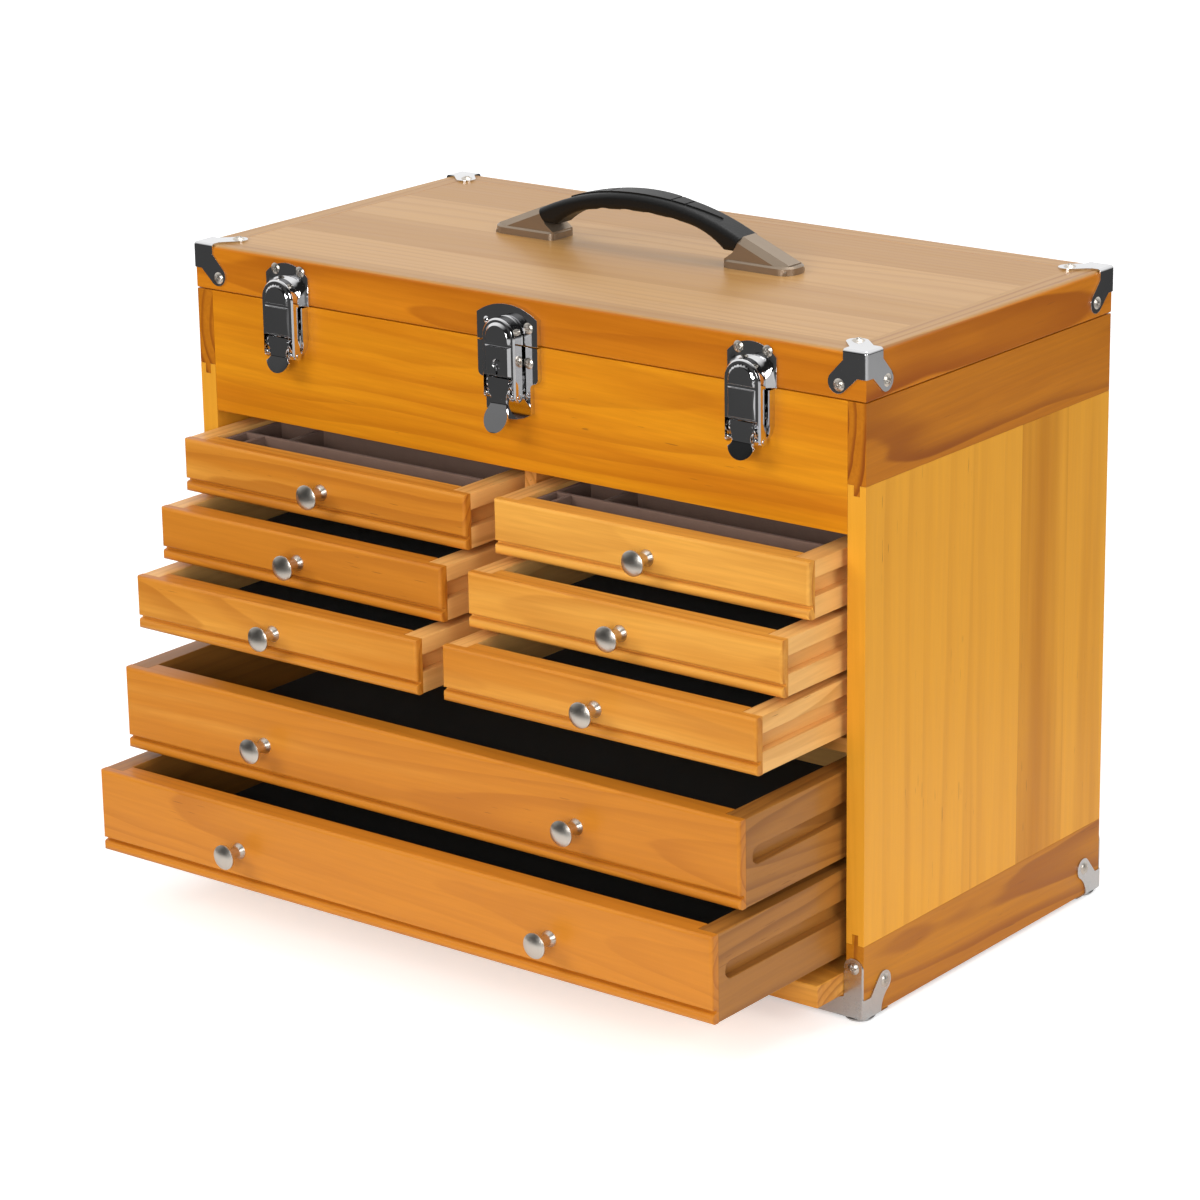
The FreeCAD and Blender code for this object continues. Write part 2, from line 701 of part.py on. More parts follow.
def drawer_box(d):
    """Two sides, a back and a bottom board held in grooves."""
    wall = size.wall_thickness
    across = (d.low + wall, d.high - wall)
    back_y = (d.tail - size.drawer_back_thickness, d.tail)
    depth = size.bottom_groove_depth
    groove_y = (back_y[0], back_y[0] + depth)
    back_board = cut(
        d.label + "_back",
        box(d.label + "_back_board", across, back_y, (d.underside, d.top)),
        [box(d.label + "_back_groove", across, groove_y, bottom_groove(d))],
    )
    floor_x = (across[0] - depth, across[1] + depth)
    floor_y = (d.face + size.front_thickness - depth, back_y[0] + depth)
    lap_y = d.face + size.front_thickness
    floor = fuse(
        d.label + "_bottom",
        [
            box(d.label + "_bottom_board", floor_x, (lap_y, floor_y[1]), bottom_groove(d)),
            box(d.label + "_bottom_lip", across, (floor_y[0], lap_y), bottom_groove(d)),
        ],
    )
    pieces = [drawer_side(d, "left"), drawer_side(d, "right"), back_board, floor]
    group(d.label + "_box", pieces)


def inner_space(d):
    gap = size.felt_clearance
    wall = size.wall_thickness + gap
    y = (d.face + size.front_thickness + gap, d.tail - size.drawer_back_thickness - gap)
    return (d.low + wall, d.high - wall), y


TRAY_ROWS = 6


def tray_hollows(d, x, y, z):
    """The compartments: two rows with a cross divider, then rows across the whole tray."""
    wall = size.tray_wall
    half = wall / 2
    first = size.tray_first_left if d.low.number < 0 else size.tray_first_right
    crosses = {0: d.low + first, 1: d.low + size.tray_second_cross}
    divider = d.face + size.tray_first_row
    pitch = (y[1] - half - divider) / (TRAY_ROWS - 1)
    hollows = []
    for row in range(TRAY_ROWS):
        low_y = y[0] + wall if row == 0 else divider + (row - 1) * pitch + half
        high_y = divider + row * pitch - half
        stops = [x[0] + wall, x[1] - wall]
        if row in crosses:
            stops[1:1] = [crosses[row] - half, crosses[row] + half]
        for i in range(0, len(stops), 2):
            name = "%s_hollow_%d_%d" % (d.label, row, i)
            hollows.append(box(name, (stops[i], stops[i + 1]), (low_y, high_y), z))
    return hollows


def drawer_lining(d):
    """Felt on the drawer bottom, or a flocked tray with compartments in the top drawers."""
    x, y = inner_space(d)
    floor = bottom_groove(d)[1]
    if not d.label.endswith(("left_1", "right_1")):
        sheet_z = (floor, floor + size.felt_thickness)
        node(box(d.label + "_felt", x, y, sheet_z), d.label + "_felt")
        return
    rim = d.top - size.tray_drop
    hollows = tray_hollows(d, x, y, (floor + size.tray_floor, rim + 1))
    tray = cut(d.label + "_tray", box(d.label + "_tray_block", x, y, (floor, rim)), hollows)
    node(tray, d.label + "_tray")


def knob(name, x, y, z):
    """A turned mushroom knob that stands out from a drawer front along -Y."""
    base = size.knob_base_radius
    neck = size.knob_neck_radius
    cap = size.knob_cap_radius
    tip = -size.knob_projection
    crown = size.knob_crown
    dome = (cap * cap + crown * crown) / (2 * crown)
    brim = tip + crown
    steps = [
        (0, 0),
        (0, base),
        (-size.knob_base_thickness, neck),
        (brim + size.knob_cap_depth, neck),
        (brim + size.knob_brim, cap),
        (brim, cap),
        (tip, 0, tip + dome, 0, "left"),
    ]
    body = turned(name, "YZ_Plane", steps, "H_Axis")
    return place(body, x, y, z)


def drawer_knobs(d):
    middle = (d.low + d.high) / 2
    z = d.underside + (size.wide_knob_rise if d.wide else size.small_knob_rise)
    offsets = (-size.wide_knob_offset, size.wide_knob_offset) if d.wide else (0,)
    knobs = []
    for i, offset in enumerate(offsets):
        knobs.append(knob("%s_knob_%d" % (d.label, i), middle + offset, d.face, z))
    group(d.label + "_knob", knobs)


def runners(drawers):
    """Wooden strips on the sides and the divider that carry the drawers in their grooves."""
    strips = []
    y = (front + size.runner_setback, back_inside)
    reach = size.drawer_side_gap + size.groove_depth - size.runner_clearance
    for d in drawers:
        low_z = d.groove_middle - size.groove_height / 2 + size.runner_clearance
        high_z = d.groove_middle + size.groove_height / 2 - size.runner_top_gap
        left_wall = d.low - size.drawer_side_gap
        right_wall = d.high + size.drawer_side_gap
        walls = (("left", (left_wall, left_wall + reach)), ("right", (right_wall - reach, right_wall)))
        for side, x in walls:
            strips.append(box("%s_%s_runner" % (d.label, side), x, y, (low_z, high_z)))
    group("drawer_runners", strips)


def drawer_set():
    drawers = all_drawers()
    for d in drawers:
        drawer_front(d)
        drawer_box(d)
        drawer_lining(d)
        drawer_knobs(d)
    runners(drawers)


def cover_board():
    edge = back_inside - size.cover_clearance
    half = inside - size.cover_side_gap
    low = size.bottom_thickness + size.cover_clearance
    board = box(
        "cover_blank",
        (-half, half),
        (edge - size.cover_height, edge),
        (low, low + size.cover_thickness),
    )
    eased = rounded("cover_board", board, 1, lambda edge: edge.Length > 100)
    node(eased, "cover_board")


# ---------------------------------------------------------------- lid


def lid_rail(name, length, turn, radius):
    """A mitred rail whose outer face is at y = 0 before it is turned into place."""
    rail = doc.addObject("Part::Wedge", name + "_blank")
    thick = size.lid_rail_thickness
    half = length / 2
    bind(rail, Xmin=-half, Xmax=half, Ymin=0, Ymax=thick)
    bind(rail, X2min=thick - half, X2max=half - thick)
    bind(rail, Zmin=0, Zmax=size.lid_height, Z2min=0, Z2max=size.lid_height)

    def outer_edge(edge, at_top):
        ends = [v.Point for v in edge.Vertexes]
        level = float(size.lid_height) if at_top else 0
        return all(abs(p.y) < TINY and abs(p.z - level) < TINY for p in ends)

    top = rounded(name + "_top_edge", rail, radius, lambda edge: outer_edge(edge, True))
    piece = rounded(name, top, 1, lambda edge: outer_edge(edge, False))
    piece.Placement = Placement(Vector(), Rotation(Vector(0, 0, 1), turn))
    return piece


def lid():
    radius = size.lid_edge_radius
    front_rail = lid_rail("lid_front_rail", size.chest_width, 0, radius)
    back_rail = lid_rail("lid_back_rail", size.chest_width, 180, radius)
    left_rail = lid_rail("lid_left_rail", size.chest_depth, -90, radius)
    right_rail = lid_rail("lid_right_rail", size.chest_depth, 90, radius)
    place(front_rail, 0, front, lid_underside)
    place(back_rail, 0, back, lid_underside)
    place(left_rail, -half_width, 0, lid_underside)
    place(right_rail, half_width, 0, lid_underside)
    group("lid_rails", [front_rail, back_rail, left_rail, right_rail])
    thick = size.lid_rail_thickness
    across = (thick - half_width, half_width - thick)
    deep = (front + thick, back - thick)
    node(box("lid_panel", across, deep, (lid_top - size.lid_panel_thickness, lid_top)), "lid_panel")


# ---------------------------------------------------------------- hinges

KNUCKLES = 3
hinge_y = back + size.knuckle_radius + size.knuckle_gap
hinge_z = size.body_height + size.lid_seam / 2


def hinge_leaf(name, x, upward):
    """A leaf on the back of the chest, with every second knuckle."""
    pitch = size.leaf_width / KNUCKLES
    start = x - size.leaf_width / 2
    away = size.knuckle_radius + size.knuckle_gap
    leaf_y = (back, back + size.leaf_thickness)
    if upward:
        plate_z = (hinge_z + away, hinge_z + size.leaf_height)
    else:
        plate_z = (hinge_z - size.leaf_height, hinge_z - away)
    pieces = [box(name + "_plate", (start, start + size.leaf_width), leaf_y, plate_z)]
    for i in range(1 if upward else 0, KNUCKLES, 2):
        low = start + i * pitch + size.knuckle_gap / 2
        width = pitch - size.knuckle_gap
        strap_z = (hinge_z, plate_z[0]) if upward else (plate_z[1], hinge_z)
        strap_y = (back + size.knuckle_gap, back + size.knuckle_gap + size.leaf_thickness)
        strap = box("%s_strap_%d" % (name, i), (low, low + width), strap_y, strap_z)
        barrel = rod("%s_barrel_%d" % (name, i), "x", size.knuckle_radius, (low, hinge_y, hinge_z), width)
        pieces += [strap, barrel]
    bore = size.hinge_pin_radius + size.pin_clearance
    hole = rod(name + "_bore", "x", bore, (start - 1, hinge_y, hinge_z), size.leaf_width + 2)
    return cut(name, fuse(name + "_leaf", pieces), [hole])


def hinges():
    body_pieces = []
    lid_pieces = []
    for side, x in (("left", -size.hinge_offset), ("right", size.hinge_offset)):
        start = (x - size.leaf_width / 2, hinge_y, hinge_z)
        body_pieces.append(hinge_leaf("hinge_%s_body" % side, x, False))
        body_pieces.append(rod("hinge_%s_pin" % side, "x", size.hinge_pin_radius, start, size.leaf_width))
        lid_pieces.append(hinge_leaf("hinge_%s_lid" % side, x, True))
    group("hinge_body_leaves", body_pieces)
    group("hinge_lid_leaves", lid_pieces)


# ---------------------------------------------------------------- latches
# A latch is drawn in its own frame: x across, y inwards from the chest front, z up from the seam.


def upright_face(points, y):
    """A face in the plane y. A point is (x, z), or (x, z, via x, via z) to reach it by an arc."""
    edges = []
    last = points[-1][:2]
    for point in points:
        start = Vector(last[0], y, last[1])
        end = Vector(point[0], y, point[1])
        if len(point) == 2:
            edges.append(Part.makeLine(start, end))
        else:
            edges.append(Part.Arc(start, Vector(point[2], y, point[3]), end).toShape())
        last = point[:2]
    return Part.Face(Part.Wire(edges))


def bowed(start, end, depth):
    """The middle of an arc between two points of an outline that bows to the left by a depth."""
    across = end[0] - start[0]
    along = end[1] - start[1]
    share = depth / math.hypot(across, along)
    return ((start[0] + end[0]) / 2 - along * share, (start[1] + end[1]) / 2 + across * share)


def slab(points, far, near):
    """An outline in x and z, from the distance `near` to `far` in front of the chest."""
    return upright_face(points, -far).extrude(Vector(0, far - near, 0))


def block(x, y, z):
    corner = Vector(x[0], y[0], z[0])
    return Part.makeBox(x[1] - x[0], y[1] - y[0], z[1] - z[0], corner)


def cross_pin(radius, half, y, z):
    return Part.makeCylinder(radius, 2 * half, Vector(-half, y, z), Vector(1, 0, 0))


def arch(half, top, low):
    """An outline with upright sides and a half-round top."""
    shoulder = top - half
    return [(-half, shoulder), (half, shoulder, 0, top), (half, low), (-half, low)]


def softened(shape, radius, chosen):
    edges = [edge for edge in shape.Edges if chosen(edge)]
    return shape.makeFillet(radius, edges) if edges else shape


class Latch:
    """The sizes of one latch, of the outer or of the lock kind."""

    def __init__(self, side, x, kind):
        self.side = side
        self.x = x
        self.kind = kind
        self.locked = kind == "lock"
        self.sheet = float(size.sheet_thickness)
        self.fold = float(size.fold_thickness)
        self.pivot_y = -self.of("pivot_front")
        self.pivot_z = -float(size.pivot_drop)
        self.claw_z = self.pivot_z - float(size.claw_pin_drop)
        self.pin = float(size.latch_pin_radius)
        self.bore = self.pin + float(size.pin_clearance)
        self.lever_half = float(size.lever_half)
        self.claw_half = self.of("claw_half")
        self.claw_inner = self.claw_half - self.fold
        self.plate = self.of("plate_front")

    def of(self, name):
        """A size that the two kinds have each their own value of."""
        return float(getattr(size, "%s_%s" % (self.kind, name)))


def between(lower, upper, far, near):
    """A solid with straight slopes from one outline to another further out."""
    wires = [upright_face(lower, -near).OuterWire, upright_face(upper, -far).OuterWire]
    return Part.makeLoft(wires, True, True)


def crowned(half, shoulder, top, low):
    """An outline with upright sides and a top that is one flat arc."""
    return [(-half, shoulder), (half, shoulder, 0, top), (half, low), (-half, low)]


def strike(latch):
    """The plate on the lid, with the dome that the claw hooks over."""
    low = float(size.lid_seam + size.seam_margin)
    half = latch.of("strike_half")
    top = latch.of("strike_top")
    shoulder = latch.of("strike_shoulder")
    plate = slab(crowned(half, shoulder, top, low), latch.plate, 0)
    if latch.locked:
        inset = latch.sheet
        inner = crowned(half - inset, shoulder - inset / 2, top - inset, low - BEYOND)
        plate = plate.cut(slab(inner, latch.plate - latch.sheet, 0))
    dome_half = latch.claw_inner - float(size.strike_gap)
    dome_top = float(size.claw_rise - size.strike_gap) - latch.fold
    foot = crowned(latch.of("dome_half"), latch.of("dome_shoulder"), latch.of("dome_top"), low)
    crown = crowned(dome_half, dome_top - dome_half, dome_top, low)
    skirt = float(size.claw_back - size.strike_gap)
    dome = between(foot, crown, skirt, latch.plate).fuse(slab(crown, latch.of("dome_front"), skirt))
    return plate.fuse(dome).removeSplitter()


def base_outline(latch, inset, top):
    """The outline of a base plate, drawn in by a margin, up to a given height."""
    half = latch.of("base_half") - inset
    low = inset - latch.of("base_drop")
    if not latch.locked:
        return [(-half, top), (half, top), (half, low + half), (-half, low + half, 0, low)]
    waist = float(size.lock_waist_half) - inset
    corner = inset - float(size.lock_base_corner)
    bow = float(size.lock_waist_bow)
    shoulder = (half, -float(size.lock_waist_top))
    hip = (waist, -float(size.lock_waist_low))
    turn = ((half + waist) / 2, (shoulder[1] + hip[1]) / 2)
    upper = bowed(shoulder, turn, bow)
    lower = bowed(turn, hip, -bow)
    return [
        (-half, top), (half, top), shoulder, turn + upper, hip + lower, (waist, corner),
        (-waist, corner, 0, low), (-waist, hip[1]), (-turn[0], turn[1], -lower[0], lower[1]),
        (-half, shoulder[1], -upper[0], upper[1]),
    ]


def base_plate(latch):
    """The plate on the body and the two ears that carry the lever. The outer kind is a tray with
    rims, the lock kind is a pan turned over."""
    top = -float(size.seam_margin)
    fold = latch.fold
    if latch.locked:
        shape = slab(base_outline(latch, 0, top), latch.plate, 0)
        hollow = slab(base_outline(latch, latch.sheet, top + BEYOND), latch.plate - latch.sheet, 0)
        shape = shape.cut(hollow)
    else:
        rim = float(size.rim_front)
        shape = slab(base_outline(latch, 0, top), rim, 0)
        shape = shape.cut(slab(base_outline(latch, fold, top + BEYOND), rim + BEYOND, latch.plate))
        half = latch.of("base_half")
        low = -latch.of("base_drop")
        low_front = float(size.rim_low_front)
        slope = [
            Vector(-half, -rim, low + half), Vector(-half, -low_front, low),
            Vector(-half, -low_front, low - BEYOND), Vector(-half, -rim - BEYOND, low - BEYOND),
            Vector(-half, -rim - BEYOND, low + half),
        ]
        wedge = Part.Face(Part.makePolygon(slope + slope[:1])).extrude(Vector(2 * half, 0, 0))
        shape = shape.cut(wedge)
    ear_inner = latch.lever_half + float(size.latch_side_gap)
    ear = float(size.ear_radius)
    for sign in (-1, 1):
        ear_x = sorted((sign * ear_inner, sign * (ear_inner + fold)))
        back_of_ear = -latch.plate + latch.sheet / 2
        web = block(ear_x, (latch.pivot_y, back_of_ear), (latch.pivot_z - ear, latch.pivot_z + ear))
        start = Vector(ear_x[0], latch.pivot_y, latch.pivot_z)
        shape = shape.fuse([web, Part.makeCylinder(ear, fold, start, Vector(1, 0, 0))])
    hole = cross_pin(latch.pin, ear_inner + 2 * fold, latch.pivot_y, latch.pivot_z)
    return shape.cut(hole).removeSplitter()


def claw_pad(latch, top_half, ends):
    """A raised pad on the claw face. `ends` gives its outline for a half width and a margin."""
    face = latch.of("claw_front")
    bevel = float(size.pad_bevel)
    lower = ends(top_half + bevel, 0)
    upper = ends(top_half, float(size.pad_end_bevel))
    return between(lower, upper, face + latch.of("pad_rise"), face - latch.fold / 2)


def claw(latch):
    """The arched cover that hooks over the strike's dome and hangs on the lever."""
    rise = float(size.claw_rise)
    face = latch.of("claw_front")
    wall = latch.fold
    half = latch.claw_half
    inner = latch.claw_inner
    face_low = -float(size.claw_face_low)
    foot = latch.claw_z
    edge = float(size.claw_edge)
    outline = arch(half, rise, foot)
    shell = slab(outline, face - edge, float(size.claw_back))
    shell = shell.fuse(between(outline, arch(half - edge, rise - edge, foot), face, face - edge))
    hollow = slab(arch(inner, rise - wall, foot - BEYOND), face - wall, 0)
    window = block((-inner, inner), (-face - BEYOND, 0), (foot - BEYOND, face_low))
    shape = shell.cut(hollow.fuse(window))
    for sign in (-1, 1):
        start = Vector(min(sign * half, sign * inner), latch.pivot_y, foot)
        toe = Part.makeCylinder(float(size.toe_radius), wall, start, Vector(1, 0, 0))
        shape = shape.fuse(toe)
    parting = float(size.pad_parting)
    margin = float(size.pad_end_bevel)
    shoulder = rise - half

    def upper_pad(half_width_, inset):
        return arch(half_width_, shoulder + half_width_, parting + margin + inset)

    def lower_pad(half_width_, inset):
        low = face_low + margin + inset
        high = parting - margin - inset
        return [(-half_width_, high), (half_width_, high), (half_width_, low), (-half_width_, low)]

    pad_half = float(size.pad_half)
    shape = shape.fuse([claw_pad(latch, pad_half, upper_pad), claw_pad(latch, pad_half, lower_pad)])
    shape = shape.cut(cross_pin(latch.bore, half + BEYOND, latch.pivot_y, latch.claw_z))
    if latch.locked:
        bore = float(size.plug_radius + size.pin_clearance)
        middle = -float(size.plug_drop)
        depth = latch.of("pad_rise") + wall + 2 * BEYOND
        start = Vector(0, -face - latch.of("pad_rise") - BEYOND, middle)
        slot_half = float(size.key_slot_width) / 2
        reach = float(size.key_slot_reach)
        slot = block((-slot_half, slot_half), (start.y, start.y + depth), (middle - reach, middle))
        hole = Part.makeCylinder(bore, depth, start, Vector(0, 1, 0))
        shape = shape.cut(hole.fuse(slot))
    return shape.removeSplitter()


def lever(latch):
    """The finger lever: a folded channel on the two pins with a flared tab below."""
    half = latch.lever_half
    far = float(size.lever_front) - latch.pivot_y
    near = far - latch.sheet
    top = latch.pivot_z + float(size.lever_rise)
    bend = -latch.of("bend_drop")
    tip = -latch.of("tab_drop")
    out = (bend - tip + BEYOND) * math.tan(math.radians(latch.of("bend_angle")))
    wide = 2 * half
    side_view = [
        Vector(-wide, -near, top), Vector(-wide, -far, top), Vector(-wide, -far, bend),
        Vector(-wide, -far - out, tip - BEYOND), Vector(-wide, -near - out, tip - BEYOND),
        Vector(-wide, -near, bend),
    ]
    strip = Part.Face(Part.makePolygon(side_view + side_view[:1])).extrude(Vector(2 * wide, 0, 0))
    tab = latch.of("tab_half")
    knee = -latch.of("tab_knee")
    neck = float(size.neck_half)
    neck_top = -float(size.neck_top)
    neck_low = -float(size.neck_low)
    outline = [
        (-half, top), (half, top), (half, neck_top), (tab, knee, neck, neck_low),
        (-tab, knee, 0, tip), (-half, neck_top, -neck, neck_low),
    ]
    shape = strip.common(slab(outline, far + out + BEYOND, near - BEYOND))
    eye = float(size.eye_radius)
    for sign in (-1, 1):
        x = sorted((sign * half, sign * (half - latch.fold)))
        cheek = block(x, (-near, latch.pivot_y + eye), (latch.claw_z, latch.pivot_z + eye))
        start = Vector(x[0], latch.pivot_y, latch.claw_z)
        toe = Part.makeCylinder(eye, latch.fold, start, Vector(1, 0, 0))
        shape = shape.fuse([cheek, toe])
    shape = shape.cut(cross_pin(latch.bore, half + BEYOND, latch.pivot_y, latch.pivot_z))
    shape = shape.cut(cross_pin(latch.pin, half + BEYOND, latch.pivot_y, latch.claw_z))
    return shape.removeSplitter()


def lock_plug(latch):
    """The key cylinder in the middle claw, with a key slot in its face."""
    radius = float(size.plug_radius)
    face = latch.of("claw_front") + latch.of("pad_rise") - float(size.plug_recess)
    length = float(size.plug_length)
    middle = -float(size.plug_drop)
    plug = Part.makeCylinder(radius, length, Vector(0, -face, middle), Vector(0, 1, 0))
    slot_half = float(size.key_slot_width) / 2
    slot_z = (middle - radius, middle)
    slot = block((-slot_half, slot_half), (-face - BEYOND, length / 2 - face), slot_z)
    return plug.cut(slot)


def latches():
    rows = (
        Latch("left", -size.latch_offset, "outer"),
        Latch("middle", as_length(0), "lock"),
        Latch("right", size.latch_offset, "outer"),
    )
    strikes = []
    bases = []
    seam = size.body_height

    def at_latch(name, shape, latch):
        return solid_piece(name, shape, latch.x, front, seam)

    for latch in rows:
        strikes.append(at_latch("strike_" + latch.side, strike(latch), latch))
        bases.append(at_latch("latch_base_" + latch.side, base_plate(latch), latch))
        ear_outer = latch.lever_half + float(size.latch_side_gap) + latch.fold
        pin = cross_pin(latch.pin, ear_outer, latch.pivot_y, latch.pivot_z)
        bases.append(at_latch("lever_pin_" + latch.side, pin, latch))
        pin_half = latch.claw_half + float(size.claw_pin_proud)
        claw_pin = cross_pin(latch.pin, pin_half, latch.pivot_y, latch.claw_z)
        pieces = [
            at_latch("lever_sheet_" + latch.side, lever(latch), latch),
            at_latch("claw_pin_" + latch.side, claw_pin, latch),
        ]
        group("lever_" + latch.side, pieces)
        node(at_latch("claw_" + latch.side, claw(latch), latch), "claw_" + latch.side)
        if latch.locked:
            node(at_latch("lock_plug", lock_plug(latch), latch), "lock_plug")
    group("latch_strikes", strikes)
    group("latch_bases", bases)
    return rows


# ---------------------------------------------------------------- corner brackets


def flat_outline(points, to_space):
    """A face from points (a, b) or (a, b, via a, via b), carried into space by a function."""
    edges = []
    last = points[-1][:2]
    for point in points:
        start = to_space(*last)
        end = to_space(*point[:2])
        if len(point) == 2:
            edges.append(Part.makeLine(start, end))
        else:
            edges.append(Part.Arc(start, to_space(*point[2:]), end).toShape())
        last = point[:2]
    return Part.Face(Part.Wire(edges))


def folded(shape, outer):
    """Rounds the folds that meet at the outer corner of a bracket."""

    def fold(edge):
        ends = [v.Point for v in edge.Vertexes]
        hits = [sum(abs(p[i] - outer[i]) < TINY for i in range(3)) for p in ends]
        return len(ends) == 2 and min(hits) >= 2

    return softened(shape, float(size.bracket_fold), fold)


def round_end(centre, radius, first, last):
    """A round end of an outline between two directions in degrees: its start and its arc."""
    points = []
    for angle in (first, (first + last) / 2, last):
        turn = math.radians(angle)
        points.append((centre[0] + radius * math.cos(turn), centre[1] + radius * math.sin(turn)))
    return points[0], points[2] + points[1]


def lid_bracket():
    """Three lobed arms that meet at the front right corner of the lid."""
    thick = float(size.bracket_thickness)
    root = float(size.bracket_root)
    neck = float(size.bracket_neck)
    lobe = float(size.lobe_offset)
    radius = float(size.lobe_radius)
    start, end = round_end((lobe, lobe), radius, -50, 140)
    outline = [
        (-thick, -thick), (root, -thick), (root, neck), start, end, (neck, root), (-thick, root),
    ]
    corner = Vector(float(half_width), float(front), float(lid_top))
    front_arm = flat_outline(outline, lambda a, b: corner + Vector(-a, 0, -b))
    side_arm = flat_outline(outline, lambda a, b: corner + Vector(0, a, -b))
    top_arm = flat_outline(outline, lambda a, b: corner + Vector(-a, b, 0))
    shape = front_arm.extrude(Vector(0, -thick, 0))
    shape = shape.fuse([side_arm.extrude(Vector(thick, 0, 0)), top_arm.extrude(Vector(0, 0, thick))])
    return folded(shape.removeSplitter(), corner + Vector(thick, -thick, thick))


def foot_bracket():
    """A foot at the front right corner: up the stile, up the side and under the chest."""
    thick = float(size.bracket_thickness)
    tall = float(size.foot_arm_height)
    wide = float(size.foot_arm_width)
    half = wide / 2
    flange = float(size.foot_flange_length)
    low = float(size.foot_flange_height)
    high = float(size.foot_side_height)
    stile_arm = [
        (-thick, -thick), (flange, -thick), (flange, low), (wide, high),
        (wide, tall - half), (0, tall - half, half, tall), (0, high), (-thick, high),
    ]
    lobe = (float(size.foot_lobe_y), float(size.foot_lobe_z))
    start, end = round_end(lobe, float(size.foot_lobe_radius), -47, 141)
    hollow_from = (float(size.foot_side_length), low)
    hollow = bowed(hollow_from, start, float(size.foot_hollow))
    side_points = [
        (-thick, -thick), (hollow_from[0], -thick), hollow_from, start + hollow, end,
        (high / 2, high), (-thick, high),
    ]
    sole = float(size.foot_sole)
    underside = [
        (-thick, -thick), (sole, -thick), (sole, sole / 2), (sole / 2, sole), (-thick, sole),
    ]
    corner = Vector(float(half_width), float(front), 0)
    front_arm = flat_outline(stile_arm, lambda a, b: corner + Vector(-a, 0, b))
    side_arm = flat_outline(side_points, lambda a, b: corner + Vector(0, a, b))
    under = flat_outline(underside, lambda a, b: corner + Vector(-a, b, 0))
    shape = front_arm.extrude(Vector(0, -thick, 0))
    shape = shape.fuse([side_arm.extrude(Vector(thick, 0, 0)), under.extrude(Vector(0, 0, -thick))])
    shape = folded(shape.removeSplitter(), corner + Vector(thick, -thick, -thick))
    inset = float(size.foot_inset)
    radius = float(size.foot_radius)
    drop = float(size.foot_height)
    start = corner + Vector(-inset, inset, -thick)
    foot = Part.makeCone(radius, radius - float(size.foot_taper), drop, start, Vector(0, 0, -1))
    return shape.fuse(foot).removeSplitter()


def four_corners(label, name, shape):
    """A corner piece and its mirror images at the other three corners."""
    first = solid_piece(name + "_front_right", shape)
    front_left = mirrored(name + "_front_left", first, ACROSS_X)
    back_right = mirrored(name + "_back_right", first, ACROSS_Y)
    back_left = mirrored(name + "_back_left", front_left, ACROSS_Y)
    group(label, [first, front_left, back_right, back_left])


def domed_head(radius, height, at, outward):
    """A domed head turned from its half section, standing on a surface."""
    rise = float(height)
    reach = float(radius)
    ball = (reach * reach + rise * rise) / (2 * rise)
    lean = math.asin(reach / ball) / 2
    via = Vector(ball * math.sin(lean), 0, rise - ball + ball * math.cos(lean))
    edges = [
        Part.makeLine(Vector(), Vector(reach, 0, 0)),
        Part.Arc(Vector(reach, 0, 0), via, Vector(0, 0, rise)).toShape(),
        Part.makeLine(Vector(0, 0, rise), Vector()),
    ]
    dome = Part.Face(Part.Wire(edges)).revolve(Vector(), Vector(0, 0, 1), 360)
    dome.Placement = Placement(at, Rotation(Vector(0, 0, 1), outward))
    return dome


def at_corners(radius, height, points):
    """Heads at given points of the front right corner, repeated at all four corners."""
    repeated = []
    for sign_x in (1, -1):
        for sign_y in (1, -1):
            for at, out in points:
                place_at = Vector(at.x * sign_x, at.y * sign_y, at.z)
                direction = Vector(out.x * sign_x, out.y * sign_y, out.z)
                repeated.append(domed_head(radius, height, place_at, direction))
    return repeated


def fasteners(rows):
    """Domed screw and rivet heads, one group on the body and one on the lid."""
    skin = float(size.bracket_thickness)
    x = float(half_width)
    y = float(front)
    top = float(lid_top)
    lobe = float(size.lobe_offset)
    lid_points = [
        (Vector(x - lobe, y - skin, top - lobe), Vector(0, -1, 0)),
        (Vector(x + skin, y + lobe, top - lobe), Vector(1, 0, 0)),
        (Vector(x - lobe, y + lobe, top + skin), Vector(0, 0, 1)),
    ]
    arm_middle = float(size.foot_arm_width) / 2
    lobe_y = float(size.foot_lobe_y)
    body_points = [
        (Vector(x - arm_middle, y - skin, float(size.foot_arm_screw)), Vector(0, -1, 0)),
        (Vector(x + skin, y + lobe_y, float(size.foot_lobe_z)), Vector(1, 0, 0)),
    ]
    radius = size.screw_head_radius
    height = size.screw_head_height
    lid_heads = at_corners(radius, height, lid_points)
    body_heads = at_corners(radius, height, body_points)
    seam = float(size.body_height)
    out = Vector(0, -1, 0)
    for latch in rows:
        middle = float(latch.x)
        base_kind = "rivet" if latch.locked else "small_rivet"
        base_radius = getattr(size, base_kind + "_radius")
        base_height = getattr(size, base_kind + "_height")
        for sign in (-1, 1):
            strike_x = middle + sign * latch.of("strike_rivet_x")
            at = Vector(strike_x, y - latch.plate, seam + latch.of("strike_rivet_z"))
            lid_heads.append(domed_head(size.rivet_radius, size.rivet_height, at, out))
            base_x = middle + sign * latch.of("base_rivet_x")
            at = Vector(base_x, y - latch.plate, seam - latch.of("base_rivet_drop"))
            body_heads.append(domed_head(base_radius, base_height, at, out))
    node(solid_piece("lid_screws", Part.makeCompound(lid_heads)), "lid_screws")
    node(solid_piece("body_screws", Part.makeCompound(body_heads)), "body_screws")


# ---------------------------------------------------------------- handle


def end_corners():
    """The upper and lower corner of the grip's right end, in x and z."""
    upper = Vector(float(size.grip_end_top_x), 0, float(size.grip_end_top_z))
    lower = Vector(float(size.grip_end_low_x), 0, float(size.grip_end_low_z))
    return upper, lower


